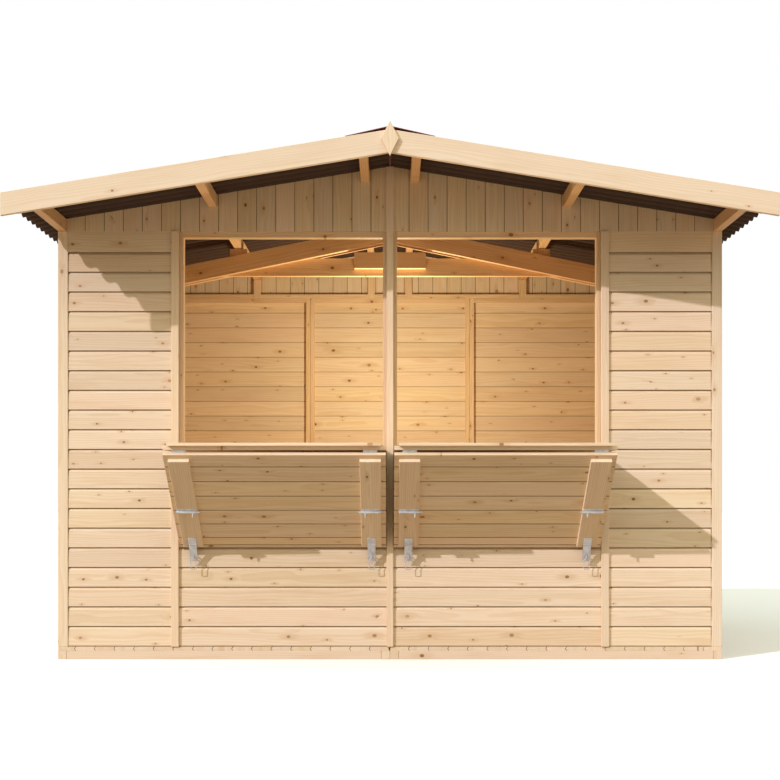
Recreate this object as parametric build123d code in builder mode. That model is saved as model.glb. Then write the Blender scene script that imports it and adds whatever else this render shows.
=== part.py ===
"""A wooden market stall: a shed three metres wide and two deep, open at two serving hatches.

Millimetres, +Z up, +X to the right of someone who faces the hatches, +Y towards the back.
The origin is on the ground at the middle of the whole outline, roof overhangs included.
Two floors side by side carry wall panels. Gables, purlins and a sandwich truss at mid depth
carry a corrugated roof. Each hatch is a leaf that lies level as a counter, with a second leaf
folded under it that leans back to the wall as a brace.
"""
import math
import os

from build123d import *

# Driving sizes of the building
WIDTH = 3000            # over the floor and the corner trims
DEPTH = 2000            # over the floor
EAVES_HEIGHT = 1934     # from the ground to the top of the wall panels
ROOF_SLOPE = 0.162      # fall of the roof for each unit sideways
ROOF_REACH = 1618       # from the middle to the eave, level
FRONT_OVERHANG = 463    # roof sheets beyond the front cladding
REAR_OVERHANG = 100     # roof sheets beyond the back cladding

# Timber and board sections
BEARER_WIDTH = 38
BEARER_HEIGHT = 38
BEARERS_PER_FLOOR = 6
DECK_THICKNESS = 19
CLAD_THICKNESS = 12
STUD_WIDTH = 25
STUD_DEPTH = 28
RAIL_HEIGHT = 38
MID_RAIL_TOP = 940
TRIM_WIDTH = 45
TRIM_LIP = 4            # corner trims in front of the cladding
STRIP_WIDTH = 35
CENTRE_STRIP_WIDTH = 31
STRIP_THICKNESS = 12
GABLE_STRIP_WIDTH = 36
GABLE_STRIP_THICKNESS = 14
PURLIN_WIDTH = 38
PURLIN_HEIGHT = 50
BARGE_DEPTH = 95
BARGE_THICKNESS = 19
BARGE_DROP = 65         # bottom edge of the barge boards below the roof plane
PANEL_GAP = 1           # between neighbouring panels
FIT = 0.3               # between pieces that bear on each other

# Window openings, measured from the middle of the front
PANEL_JOINT_X = 971     # between a window panel and a side panel
WINDOW_INNER_X = 32
WINDOW_OUTER_X = 935
HEAD_RAIL_HEIGHT = 26
WINDOW_DEPTH = 45       # framing round the hatches, from front to back
COUNTER_Z = 928         # underside of the counter leaf

# Back wall and gable studs, measured from the middle
BACK_JOINT_X = 481
GABLE_STUD_WIDTH = 43
GABLE_STUD_DEPTH = 28

# Purlins, each named by the distance of its outer side from the middle
RIDGE_PURLIN_X = 131
MIDDLE_PURLIN_X = 820
EAVE_PURLIN_X = WIDTH / 2

# Truss at mid depth
TRUSS_THICKNESS = 28
TRUSS_SLOPE = 0.2045
TRUSS_DROP = 149.5      # from the roof plane at the ridge to the rafters' bottom edges
TRUSS_RAFTER_HEIGHT = 94
TIE_DROP = 177          # from the rafters' bottom edges at the middle to the tie's
TIE_HEIGHT = 93.5
TIE_REACH = 905
PLATE_REACH = 188
PLATE_DROP = 141        # from the rafters' bottom edges at the middle to the plate's
PLATE_HEIGHT = 85
PACKER_WIDTH = 88

# Corrugated roof sheets and ridge cap
WAVE_PITCH = 76
WAVE_HEIGHT = 31
SHEET_THICKNESS = 3
RIDGE_GAP = 3
CAP_REACH = 188
CAP_RISE = 51           # fold of the cap above the roof plane
CAP_THICKNESS = 4

# Diamond finials
FINIAL_WIDTH = 73
FINIAL_HEIGHT = 144
FINIAL_THICKNESS = 15
FINIAL_RISE = 31        # tip above the top edge of the barge boards

# Hatches, measured from the middle of the front
LEAF_INNER_X = 18
LEAF_OUTER_X = 947
LEAF_THICKNESS = 17
TOP_MARGIN = 20         # counter top inside each side of the leaf below it
TOP_THICKNESS = 12
TOP_LIP = 22            # counter top beyond the front edge of the leaf below it
FOLD_GAP = 9            # between the counter leaf and the brace leaf
BRACE_LENGTH = 604
BRACE_TILT = 41.6       # degrees from level
BRACE_THICKNESS = 17
BATTEN_WIDTH = 89
BATTEN_THICKNESS = 18
BATTEN_START = 22       # bare leaf above the battens
BATTEN_END = 22         # bare leaf below the battens
HINGE_WIDTH = 60
HINGE_DEPTH = 24
HINGE_THICKNESS = 3
BOLT_LENGTH = 87
BOLT_RADIUS = 6
BOLT_PLATE_WIDTH = 26
BOLT_PLATE_THICKNESS = 2
BOLT_PLACE = 0.554      # share of the brace leaf above the barrel bolts
BOLT_ROD_RADIUS = 4
BOLT_ROD_REACH = 14
BOLT_KNOB_LENGTH = 17
HASP_WIDTH = 36
HASP_THICKNESS = 3
HASP_PLACE = 46         # bend of the hasp above the bottom of the brace leaf
HASP_ARM = 43           # upper arm, on the batten
HASP_DROP = 84          # lower arm, in front of the wall
HASP_LEAN = 24          # degrees of the lower arm from plumb
STAPLE_PLACE = 62       # staple below the bend of the hasp
STAPLE_SPREAD = 14
STAPLE_ROD_RADIUS = 2.5
STAPLE_REACH = 8        # staple in front of the hasp
HOOK_WIDTH = 28
HOOK_HEIGHT = 58
HOOK_TOP_WIDTH = 6      # before the bends at the top are rounded
HOOK_SHOULDER = 18      # from the top of a snap hook to its full width
HOOK_BEND = 4
HOOK_ROD_RADIUS = 1.75

# Levels
FLOOR_TOP = BEARER_HEIGHT + DECK_THICKNESS
WALL_TOP = EAVES_HEIGHT
WALL_THICKNESS = CLAD_THICKNESS + STUD_DEPTH
ROOF_TOP = WALL_TOP + PURLIN_HEIGHT + ROOF_SLOPE * EAVE_PURLIN_X
WINDOW_HEAD_Z = WALL_TOP - HEAD_RAIL_HEIGHT
TRUSS_APEX_Z = ROOF_TOP - TRUSS_DROP
TIE_BOTTOM_Z = TRUSS_APEX_Z - TIE_DROP
PLATE_BOTTOM_Z = TRUSS_APEX_Z - PLATE_DROP

# Front and back planes: the outline's middle is at Y 0
ROOF_FRONT = -(DEPTH + FRONT_OVERHANG + REAR_OVERHANG - 2 * TRIM_LIP) / 2
ROOF_BACK = -ROOF_FRONT
FLOOR_FRONT = ROOF_FRONT + FRONT_OVERHANG - TRIM_LIP
FLOOR_BACK = FLOOR_FRONT + DEPTH
FRONT_PLANE = FLOOR_FRONT + TRIM_LIP
BACK_PLANE = FLOOR_BACK - TRIM_LIP
MIDDLE_Y = (FLOOR_FRONT + FLOOR_BACK) / 2
SIDE_PLANE = WIDTH / 2 - TRIM_LIP
FRONT_INSIDE = FRONT_PLANE + WALL_THICKNESS
BACK_INSIDE = BACK_PLANE - WALL_THICKNESS
SIDE_INSIDE = SIDE_PLANE - WALL_THICKNESS
FRONT_STUD = FRONT_PLANE + CLAD_THICKNESS
BACK_STUD = BACK_PLANE - CLAD_THICKNESS
SIDE_STUD = SIDE_PLANE - CLAD_THICKNESS
BOARD_END_X = WIDTH / 2 - TRIM_WIDTH - FIT
HALF_GAP = PANEL_GAP / 2
STRIP_OUTER_X = PANEL_JOINT_X + STRIP_WIDTH / 2
SILL_Z = COUNTER_Z + LEAF_THICKNESS

os.makedirs("parts", exist_ok=True)


def roof_z(x):
    """Height of the plane that the purlins' tops lie in."""
    return ROOF_TOP - ROOF_SLOPE * abs(x)


def truss_z(x):
    """Height of the bottom edge of the truss rafters."""
    return TRUSS_APEX_Z - TRUSS_SLOPE * abs(x)


def block(x, y, z):
    """Adds a plain length of timber, given as a low and a high value along each axis."""
    with Locations((sum(x) / 2, sum(y) / 2, sum(z) / 2)):
        Box(abs(x[1] - x[0]), abs(y[1] - y[0]), abs(z[1] - z[0]))


def across(side, x):
    """A span along X on the right (side 1), or its mirror image on the left (side -1)."""
    return (min(side * x[0], side * x[1]), max(side * x[0], side * x[1]))


def facing_shape(points, y):
    """Adds a shape drawn in the XZ plane, from y[0] back to y[1]."""
    with BuildSketch(Plane.XZ.offset(-y[0])) as outline:
        with BuildLine():
            Polyline(*points, close=True)
        make_face()
    extrude(outline.sketch, amount=y[0] - y[1])


def side_shape(points, x):
    """Adds a shape drawn in the YZ plane, from x[0] to x[1]."""
    with BuildSketch(Plane.YZ.offset(x[0])) as outline:
        with BuildLine():
            Polyline(*points, close=True)
        make_face()
    extrude(outline.sketch, amount=x[1] - x[0])


def save(name, builder):
    """Labels a finished piece and writes it under its own name."""
    builder.part.label = name
    export_step(builder.part, f"parts/{name}.step")


SIDES = {"left": -1, "right": 1}

# Floors: bearers along the edges and between them, a rim at the front and the back, a deck
for side_name, side in SIDES.items():
    inner = HALF_GAP
    outer = WIDTH / 2
    with BuildPart() as floor_frame:
        block(across(side, (inner, inner + BEARER_WIDTH)), (FLOOR_FRONT, FLOOR_BACK), (0, BEARER_HEIGHT))
        block(across(side, (outer - BEARER_WIDTH, outer)), (FLOOR_FRONT, FLOOR_BACK), (0, BEARER_HEIGHT))
        rim_span = across(side, (inner, outer))
        block(rim_span, (FLOOR_FRONT, FLOOR_FRONT + BEARER_WIDTH), (0, BEARER_HEIGHT))
        block(rim_span, (FLOOR_BACK - BEARER_WIDTH, FLOOR_BACK), (0, BEARER_HEIGHT))
        bearer_step = (outer - inner - BEARER_WIDTH) / (BEARERS_PER_FLOOR - 1)
        for number in range(1, BEARERS_PER_FLOOR - 1):
            start = inner + number * bearer_step
            block(across(side, (start, start + BEARER_WIDTH)), (FLOOR_FRONT, FLOOR_BACK), (0, BEARER_HEIGHT))
    save(f"floor_frame_{side_name}", floor_frame)

    with BuildPart() as floor_deck:
        block(across(side, (inner, outer)), (FLOOR_FRONT, FLOOR_BACK), (BEARER_HEIGHT, FLOOR_TOP))
    save(f"floor_deck_{side_name}", floor_deck)

# Front wall: a full panel at each side, and a window panel with boards only below the hatch
for side_name, side in SIDES.items():
    with BuildPart() as front_panel:
        panel_span = across(side, (PANEL_JOINT_X + HALF_GAP, BOARD_END_X))
        block(panel_span, (FRONT_PLANE, FRONT_STUD), (FLOOR_TOP, WALL_TOP))
    save(f"front_panel_{side_name}", front_panel)

    with BuildPart() as front_apron:
        apron_span = across(side, (HALF_GAP, PANEL_JOINT_X - HALF_GAP))
        block(apron_span, (FRONT_PLANE, FRONT_STUD), (FLOOR_TOP, COUNTER_Z - FIT))
    save(f"front_apron_{side_name}", front_apron)

    with BuildPart() as window_frame:
        post_y = (FRONT_STUD, FRONT_STUD + WINDOW_DEPTH)
        block(across(side, (HALF_GAP, WINDOW_INNER_X)), post_y, (FLOOR_TOP, WALL_TOP))
        block(across(side, (WINDOW_OUTER_X, PANEL_JOINT_X - HALF_GAP)), post_y, (FLOOR_TOP, WALL_TOP))
        block(apron_span, post_y, (WINDOW_HEAD_Z, WALL_TOP))
        block(apron_span, post_y, (SILL_Z - RAIL_HEIGHT, SILL_Z))
        block(apron_span, post_y, (FLOOR_TOP, FLOOR_TOP + STUD_WIDTH))
    save(f"window_frame_{side_name}", window_frame)

    with BuildPart() as side_panel_frame:
        frame_span = (PANEL_JOINT_X + HALF_GAP, SIDE_STUD)
        stud_y = (FRONT_STUD, FRONT_INSIDE)
        block(across(side, (frame_span[0], frame_span[0] + STUD_WIDTH)), stud_y, (FLOOR_TOP, WALL_TOP))
        block(across(side, (frame_span[1] - STUD_WIDTH, frame_span[1])), stud_y, (FLOOR_TOP, WALL_TOP))
        for rail_top in (FLOOR_TOP + STUD_WIDTH, MID_RAIL_TOP, WALL_TOP):
            block(across(side, frame_span), stud_y, (rail_top - STUD_WIDTH, rail_top))
    save(f"front_frame_{side_name}", side_panel_frame)

# Side walls: two panels each, from the front wall's framing to the back wall's
for side_name, side in SIDES.items():
    with BuildPart() as side_cladding:
        board_x = across(side, (SIDE_STUD, SIDE_PLANE))
        board_ends = (FLOOR_FRONT + TRIM_WIDTH + FIT, FLOOR_BACK - TRIM_WIDTH - FIT)
        block(board_x, (board_ends[0], MIDDLE_Y - HALF_GAP), (FLOOR_TOP, WALL_TOP))
        block(board_x, (MIDDLE_Y + HALF_GAP, board_ends[1]), (FLOOR_TOP, WALL_TOP))
    save(f"side_cladding_{side_name}", side_cladding)

    with BuildPart() as side_frames:
        stud_x = across(side, (SIDE_INSIDE, SIDE_STUD))
        for start, end in ((FRONT_INSIDE, MIDDLE_Y - HALF_GAP), (MIDDLE_Y + HALF_GAP, BACK_INSIDE)):
            block(stud_x, (start, start + STUD_WIDTH), (FLOOR_TOP, WALL_TOP))
            block(stud_x, (end - STUD_WIDTH, end), (FLOOR_TOP, WALL_TOP))
            for rail_top in (FLOOR_TOP + STUD_WIDTH, MID_RAIL_TOP, WALL_TOP):
                block(stud_x, (start, end), (rail_top - STUD_WIDTH, rail_top))
    save(f"side_frames_{side_name}", side_frames)

# Back wall: three panels
BACK_SPANS = [
    (-SIDE_STUD, -BACK_JOINT_X - HALF_GAP),
    (-BACK_JOINT_X + HALF_GAP, BACK_JOINT_X - HALF_GAP),
    (BACK_JOINT_X + HALF_GAP, SIDE_STUD),
]
with BuildPart() as back_cladding:
    for low, high in BACK_SPANS:
        board_x = (max(low, -BOARD_END_X), min(high, BOARD_END_X))
        block(board_x, (BACK_STUD, BACK_PLANE), (FLOOR_TOP, WALL_TOP))
save("back_cladding", back_cladding)

with BuildPart() as back_frames:
    for low, high in BACK_SPANS:
        stud_y = (BACK_INSIDE, BACK_STUD)
        block((low, low + STUD_WIDTH), stud_y, (FLOOR_TOP, WALL_TOP))
        block((high - STUD_WIDTH, high), stud_y, (FLOOR_TOP, WALL_TOP))
        for rail_top in (FLOOR_TOP + STUD_WIDTH, MID_RAIL_TOP, WALL_TOP):
            block((low, high), stud_y, (rail_top - STUD_WIDTH, rail_top))
save("back_frames", back_frames)

# Corner trims: two strips at each corner, with the ends of the cladding against their edges
with BuildPart() as corner_trims:
    for side in SIDES.values():
        for plane, outward in ((FRONT_PLANE, -1), (BACK_PLANE, 1)):
            edge = plane + outward * TRIM_LIP
            stud_face = plane - outward * CLAD_THICKNESS
            inward = edge - outward * TRIM_WIDTH
            front_y = (min(stud_face, edge), max(stud_face, edge))
            side_y = (min(inward, edge), max(inward, edge))
            block(across(side, (WIDTH / 2 - TRIM_WIDTH, WIDTH / 2)), front_y, (FLOOR_TOP, WALL_TOP))
            block(across(side, (SIDE_STUD, WIDTH / 2)), side_y, (FLOOR_TOP, WALL_TOP))
save("corner_trims", corner_trims)

# Cover strips over the panel joints
with BuildPart() as front_strips:
    strip_y = (FRONT_PLANE - STRIP_THICKNESS, FRONT_PLANE)
    block((-CENTRE_STRIP_WIDTH / 2, CENTRE_STRIP_WIDTH / 2), strip_y, (FLOOR_TOP, WALL_TOP))
    for side in SIDES.values():
        block(across(side, (STRIP_OUTER_X - STRIP_WIDTH, STRIP_OUTER_X)), strip_y, (FLOOR_TOP, WALL_TOP))
save("front_strips", front_strips)

with BuildPart() as rear_strips:
    for side in SIDES.values():
        strip_x = (BACK_JOINT_X - STRIP_WIDTH / 2, BACK_JOINT_X + STRIP_WIDTH / 2)
        block(across(side, strip_x), (BACK_PLANE, BACK_PLANE + STRIP_THICKNESS), (FLOOR_TOP, WALL_TOP))
        strip_y = (MIDDLE_Y - STRIP_WIDTH / 2, MIDDLE_Y + STRIP_WIDTH / 2)
        block(across(side, (SIDE_PLANE, SIDE_PLANE + STRIP_THICKNESS)), strip_y, (FLOOR_TOP, WALL_TOP))
save("rear_and_side_strips", rear_strips)


def purlin_bottom(outer_x):
    """Level underside of a purlin whose outer side is outer_x from the middle."""
    return roof_z(outer_x) - PURLIN_HEIGHT


def gable_half(side, y):
    """Boards of half a gable, cut to the roof and notched round the purlins."""
    outline = [(HALF_GAP, WALL_TOP), (HALF_GAP, roof_z(0) - FIT)]
    for outer_x in (RIDGE_PURLIN_X, MIDDLE_PURLIN_X):
        near = outer_x - PURLIN_WIDTH - PANEL_GAP
        far = outer_x + PANEL_GAP
        notch_z = purlin_bottom(outer_x) - FIT
        outline += [(near, roof_z(near) - FIT), (near, notch_z), (far, notch_z), (far, roof_z(far) - FIT)]
    end_x = EAVE_PURLIN_X - PURLIN_WIDTH - PANEL_GAP
    outline += [(end_x, roof_z(end_x) - FIT), (end_x, WALL_TOP)]
    facing_shape([(side * x, z) for x, z in outline], y)


def gable_frame(y):
    """Bottom rail of a gable, with a stud up to each ridge and middle purlin."""
    end_x = EAVE_PURLIN_X - PURLIN_WIDTH - PANEL_GAP
    block((-end_x, end_x), y, (WALL_TOP, WALL_TOP + STUD_WIDTH))
    for side in SIDES.values():
        for outer_x in (RIDGE_PURLIN_X, MIDDLE_PURLIN_X):
            middle = outer_x - PURLIN_WIDTH / 2
            stud_x = (middle - GABLE_STUD_WIDTH / 2, middle + GABLE_STUD_WIDTH / 2)
            block(across(side, stud_x), y, (WALL_TOP, purlin_bottom(outer_x) - FIT))


# Gables
for place, board_y, frame_y in (
    ("front", (FRONT_PLANE, FRONT_STUD), (FRONT_STUD, FRONT_STUD + GABLE_STUD_DEPTH)),
    ("back", (BACK_STUD, BACK_PLANE), (BACK_STUD - GABLE_STUD_DEPTH, BACK_STUD)),
):
    with BuildPart() as gable:
        for side in SIDES.values():
            gable_half(side, board_y)
    save(f"{place}_gable", gable)

    with BuildPart() as gable_studs:
        gable_frame(frame_y)
    save(f"{place}_gable_frame", gable_studs)

with BuildPart() as gable_strips:
    strip_x = (-GABLE_STRIP_WIDTH / 2, GABLE_STRIP_WIDTH / 2)
    strip_top = roof_z(GABLE_STRIP_WIDTH / 2) - FIT
    block(strip_x, (FRONT_PLANE - GABLE_STRIP_THICKNESS, FRONT_PLANE), (WALL_TOP, strip_top))
    block(strip_x, (BACK_PLANE, BACK_PLANE + GABLE_STRIP_THICKNESS), (WALL_TOP, strip_top))
save("gable_strips", gable_strips)

# Purlins, with tops bevelled to the roof
PURLIN_Y = (ROOF_FRONT, ROOF_BACK)
for place, outer_x in (("ridge", RIDGE_PURLIN_X), ("middle", MIDDLE_PURLIN_X), ("eave", EAVE_PURLIN_X)):
    with BuildPart() as purlins:
        inner_x = outer_x - PURLIN_WIDTH
        bottom = purlin_bottom(outer_x)
        section = [(inner_x, bottom), (outer_x, bottom)]
        section += [(outer_x, roof_z(outer_x)), (inner_x, roof_z(inner_x))]
        for side in SIDES.values():
            facing_shape([(side * x, z) for x, z in section], PURLIN_Y)
    save(f"{place}_purlins", purlins)

# Truss at mid depth: two pairs of rafters with a tie between them
TRUSS_FRONT_Y = (MIDDLE_Y - 1.5 * TRUSS_THICKNESS, MIDDLE_Y - TRUSS_THICKNESS / 2)
TRUSS_TIE_Y = (MIDDLE_Y - TRUSS_THICKNESS / 2, MIDDLE_Y + TRUSS_THICKNESS / 2)
TRUSS_BACK_Y = (MIDDLE_Y + TRUSS_THICKNESS / 2, MIDDLE_Y + 1.5 * TRUSS_THICKNESS)
for place, truss_y in (("front", TRUSS_FRONT_Y), ("back", TRUSS_BACK_Y)):
    with BuildPart() as truss_rafters:
        near = HALF_GAP
        far = SIDE_INSIDE - FIT
        outline = [
            (near, truss_z(near)),
            (far, truss_z(far)),
            (far, truss_z(far) + TRUSS_RAFTER_HEIGHT),
            (near, truss_z(near) + TRUSS_RAFTER_HEIGHT),
        ]
        for side in SIDES.values():
            facing_shape([(side * x, z) for x, z in outline], truss_y)
    save(f"truss_rafters_{place}", truss_rafters)

with BuildPart() as truss_tie:
    block((-TIE_REACH, TIE_REACH), TRUSS_TIE_Y, (TIE_BOTTOM_Z, TIE_BOTTOM_Z + TIE_HEIGHT))
save("truss_tie", truss_tie)

with BuildPart() as truss_plate:
    block((-PLATE_REACH, PLATE_REACH), TRUSS_FRONT_Y, (PLATE_BOTTOM_Z, PLATE_BOTTOM_Z + PLATE_HEIGHT))
save("truss_plate", truss_plate)

with BuildPart() as truss_packers:
    for side in SIDES.values():
        for outer_x, bottom in (
            (RIDGE_PURLIN_X, truss_z(0) - FIT),
            (MIDDLE_PURLIN_X, TIE_BOTTOM_Z + TIE_HEIGHT + FIT),
        ):
            middle = outer_x - PURLIN_WIDTH / 2
            packer_x = (middle - PACKER_WIDTH / 2, middle + PACKER_WIDTH / 2)
            block(across(side, packer_x), TRUSS_TIE_Y, (bottom, purlin_bottom(outer_x) - FIT))
save("truss_packers", truss_packers)

# Corrugated roof sheets: the waves run down the slope
ROOF_ANGLE = math.atan(ROOF_SLOPE)
ROOF_LENGTH = ROOF_BACK - ROOF_FRONT
WAVES = round(ROOF_LENGTH / WAVE_PITCH)
HALF_WAVE = ROOF_LENGTH / WAVES / 2
SHEET_RUN = (ROOF_REACH - RIDGE_GAP) / math.cos(ROOF_ANGLE)


def wave_line(rise):
    """Adds the sheet's wavy line, with its troughs this far above the purlins."""
    for number in range(2 * WAVES):
        start = ROOF_FRONT + number * HALF_WAVE
        crest = WAVE_HEIGHT / 2 if number % 2 else -WAVE_HEIGHT / 2
        level = rise + WAVE_HEIGHT / 2
        ThreePointArc((start, level), (start + HALF_WAVE / 2, level + crest), (start + HALF_WAVE, level))


with BuildPart() as roof_sheet_right:
    down_slope = Plane(
        origin=(RIDGE_GAP, 0, roof_z(RIDGE_GAP)),
        x_dir=(0, 1, 0),
        z_dir=(math.cos(ROOF_ANGLE), 0, -math.sin(ROOF_ANGLE)),
    )
    with BuildSketch(down_slope):
        with BuildLine():
            wave_line(FIT)
            wave_line(FIT + SHEET_THICKNESS)
            for end_y in (ROOF_FRONT, ROOF_BACK):
                low_z = FIT + WAVE_HEIGHT / 2
                Line((end_y, low_z), (end_y, low_z + SHEET_THICKNESS))
        make_face()
    extrude(amount=SHEET_RUN)
save("roof_sheet_right", roof_sheet_right)

with BuildPart() as roof_sheet_left:
    mirror(roof_sheet_right.part, about=Plane.YZ)
save("roof_sheet_left", roof_sheet_left)

# Ridge cap: a bent strip between the barge boards, its edges on the crests of both sheets
CREST_RISE = (FIT + WAVE_HEIGHT + SHEET_THICKNESS + FIT) / math.cos(ROOF_ANGLE)
with BuildPart() as ridge_cap:
    cap_edge = roof_z(CAP_REACH) + CREST_RISE
    cap_fold = roof_z(0) + CAP_RISE
    facing_shape(
        [
            (-CAP_REACH, cap_edge),
            (0, cap_fold - CAP_THICKNESS),
            (CAP_REACH, cap_edge),
            (CAP_REACH, cap_edge + CAP_THICKNESS),
            (0, cap_fold),
            (-CAP_REACH, cap_edge + CAP_THICKNESS),
        ],
        (ROOF_FRONT, ROOF_BACK),
    )
save("ridge_cap", ridge_cap)

# Barge boards over the ends of the sheets and purlins, with a diamond finial at each apex
BARGE_HEIGHT = BARGE_DEPTH / math.cos(ROOF_ANGLE)
FINIAL_TOP = ROOF_TOP - BARGE_DROP + BARGE_HEIGHT + FINIAL_RISE
for place, barge_y in (
    ("front", (ROOF_FRONT - BARGE_THICKNESS, ROOF_FRONT)),
    ("back", (ROOF_BACK, ROOF_BACK + BARGE_THICKNESS)),
):
    with BuildPart() as barge_boards:
        outline = []
        for x in (HALF_GAP, ROOF_REACH):
            outline.append((x, roof_z(x) - BARGE_DROP))
        for x in (ROOF_REACH, HALF_GAP):
            outline.append((x, roof_z(x) - BARGE_DROP + BARGE_HEIGHT))
        for side in SIDES.values():
            facing_shape([(side * x, z) for x, z in outline], barge_y)
    save(f"barge_boards_{place}", barge_boards)

with BuildPart() as finials:
    diamond = [
        (0, FINIAL_TOP),
        (FINIAL_WIDTH / 2, FINIAL_TOP - FINIAL_HEIGHT / 2),
        (0, FINIAL_TOP - FINIAL_HEIGHT),
        (-FINIAL_WIDTH / 2, FINIAL_TOP - FINIAL_HEIGHT / 2),
    ]
    for face_y in (
        (ROOF_FRONT - BARGE_THICKNESS - FINIAL_THICKNESS, ROOF_FRONT - BARGE_THICKNESS),
        (ROOF_BACK + BARGE_THICKNESS, ROOF_BACK + BARGE_THICKNESS + FINIAL_THICKNESS),
    ):
        facing_shape(diamond, face_y)
save("finials", finials)

# Hatches. The brace leaf hangs from the counter's front edge and leans back to the wall.
TILT = math.radians(BRACE_TILT)
BRACE_TOP_Z = COUNTER_Z - FOLD_GAP
BRACE_TOP_Y = FRONT_PLANE - FIT - BRACE_LENGTH * math.cos(TILT)
COUNTER_FRONT = BRACE_TOP_Y - BRACE_THICKNESS * math.sin(TILT)


def on_brace(along, out):
    """A point of the YZ plane: along the brace leaf from its top, and out from its back."""
    y = BRACE_TOP_Y + along * math.cos(TILT) - out * math.sin(TILT)
    z = BRACE_TOP_Z - along * math.sin(TILT) - out * math.cos(TILT)
    return (y, z)


def on_brace_slab(x, along, out):
    """Adds a plain slab that lies along the brace leaf."""
    top, bottom = along
    inside, outside = out
    corners = [on_brace(top, inside), on_brace(bottom, inside)]
    corners += [on_brace(bottom, outside), on_brace(top, outside)]
    side_shape(corners, x)


def brace_rod(x, along, out, radius):
    """Adds a round rod across the brace leaf."""
    with BuildSketch(Plane.YZ.offset(x[0])) as section:
        with Locations(on_brace(along, out)):
            Circle(radius)
    extrude(section.sketch, amount=x[1] - x[0])


BATTEN_SPANS = (
    (LEAF_INNER_X + TOP_MARGIN, LEAF_INNER_X + TOP_MARGIN + BATTEN_WIDTH),
    (LEAF_OUTER_X - TOP_MARGIN - BATTEN_WIDTH, LEAF_OUTER_X - TOP_MARGIN),
)
BATTEN_MIDDLES = [side * sum(span) / 2 for side in SIDES.values() for span in BATTEN_SPANS]

for side_name, side in SIDES.items():
    leaf_x = across(side, (LEAF_INNER_X, LEAF_OUTER_X))
    top_x = across(side, (LEAF_INNER_X + TOP_MARGIN, LEAF_OUTER_X - TOP_MARGIN))
    with BuildPart() as counter_leaf:
        block(leaf_x, (COUNTER_FRONT, FRONT_STUD), (COUNTER_Z, SILL_Z))
    save(f"counter_leaf_{side_name}", counter_leaf)

    with BuildPart() as counter_top:
        block(top_x, (COUNTER_FRONT - TOP_LIP, FRONT_STUD + WINDOW_DEPTH), (SILL_Z, SILL_Z + TOP_THICKNESS))
    save(f"counter_top_{side_name}", counter_top)

    with BuildPart() as brace_leaf:
        on_brace_slab(leaf_x, (0, BRACE_LENGTH), (0, BRACE_THICKNESS))
    save(f"brace_leaf_{side_name}", brace_leaf)

with BuildPart() as brace_battens:
    for side in SIDES.values():
        for span in BATTEN_SPANS:
            out = (BRACE_THICKNESS, BRACE_THICKNESS + BATTEN_THICKNESS)
            on_brace_slab(across(side, span), (BATTEN_START, BRACE_LENGTH - BATTEN_END), out)
save("brace_battens", brace_battens)

# Fold hinges: a plate under the counter leaf, and a web down to the brace leaf's top edge
with BuildPart() as fold_hinges:
    for middle in BATTEN_MIDDLES:
        hinge_x = (middle - HINGE_WIDTH / 2, middle + HINGE_WIDTH / 2)
        plate_y = (COUNTER_FRONT + HINGE_THICKNESS, COUNTER_FRONT + HINGE_THICKNESS + HINGE_DEPTH)
        block(hinge_x, plate_y, (COUNTER_Z - HINGE_THICKNESS, COUNTER_Z))
        web_y = (BRACE_TOP_Y - HINGE_THICKNESS, BRACE_TOP_Y)
        lower = on_brace(0, HINGE_THICKNESS)
        upper_z = COUNTER_Z - HINGE_THICKNESS / 2
        side_shape([(web_y[0], upper_z), (web_y[1], upper_z), on_brace(0, 0), lower], hinge_x)
save("fold_hinges", fold_hinges)

# Barrel bolts on the battens: a plate, a barrel, a rod that points to the hatch's middle, a knob
BATTEN_FACE = BRACE_THICKNESS + BATTEN_THICKNESS
HATCH_MIDDLE = (LEAF_INNER_X + LEAF_OUTER_X) / 2
with BuildPart() as barrel_bolts:
    for middle in BATTEN_MIDDLES:
        hatch_middle = math.copysign(HATCH_MIDDLE, middle)
        towards = math.copysign(1, hatch_middle - middle)
        start = middle - towards * BATTEN_WIDTH / 2
        end = start + towards * BOLT_LENGTH
        tip = end + towards * BOLT_ROD_REACH
        along = BOLT_PLACE * BRACE_LENGTH
        plate_along = (along - BOLT_PLATE_WIDTH / 2, along + BOLT_PLATE_WIDTH / 2)
        plate_x = (min(start, end), max(start, end))
        on_brace_slab(plate_x, plate_along, (BATTEN_FACE, BATTEN_FACE + BOLT_PLATE_THICKNESS))
        barrel_out = BATTEN_FACE + BOLT_RADIUS
        brace_rod(plate_x, along, barrel_out, BOLT_RADIUS)
        brace_rod((min(middle, tip), max(middle, tip)), along, barrel_out, BOLT_ROD_RADIUS)
        knob_x = end - towards * BOLT_KNOB_LENGTH
        knob_y, knob_z = on_brace(along, barrel_out)
        with BuildSketch(Plane(origin=(knob_x, knob_y, knob_z), x_dir=(1, 0, 0), z_dir=(0, 0, -1))):
            Circle(BOLT_ROD_RADIUS)
        extrude(amount=BOLT_RADIUS + BOLT_KNOB_LENGTH)
save("barrel_bolts", barrel_bolts)

# Hasps: the upper arm lies on the batten, and the lower arm leans in towards the wall
LEAN = math.radians(HASP_LEAN)
HASP_BEND = BRACE_LENGTH - HASP_PLACE
BEND_Y, BEND_Z = on_brace(HASP_BEND, BATTEN_FACE)


def on_hasp(along, out):
    """A point of the YZ plane: along the hasp's lower arm from its bend, and out from its back."""
    y = BEND_Y + along * math.sin(LEAN) - out * math.cos(LEAN)
    z = BEND_Z - along * math.cos(LEAN) - out * math.sin(LEAN)
    return (y, z)


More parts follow.
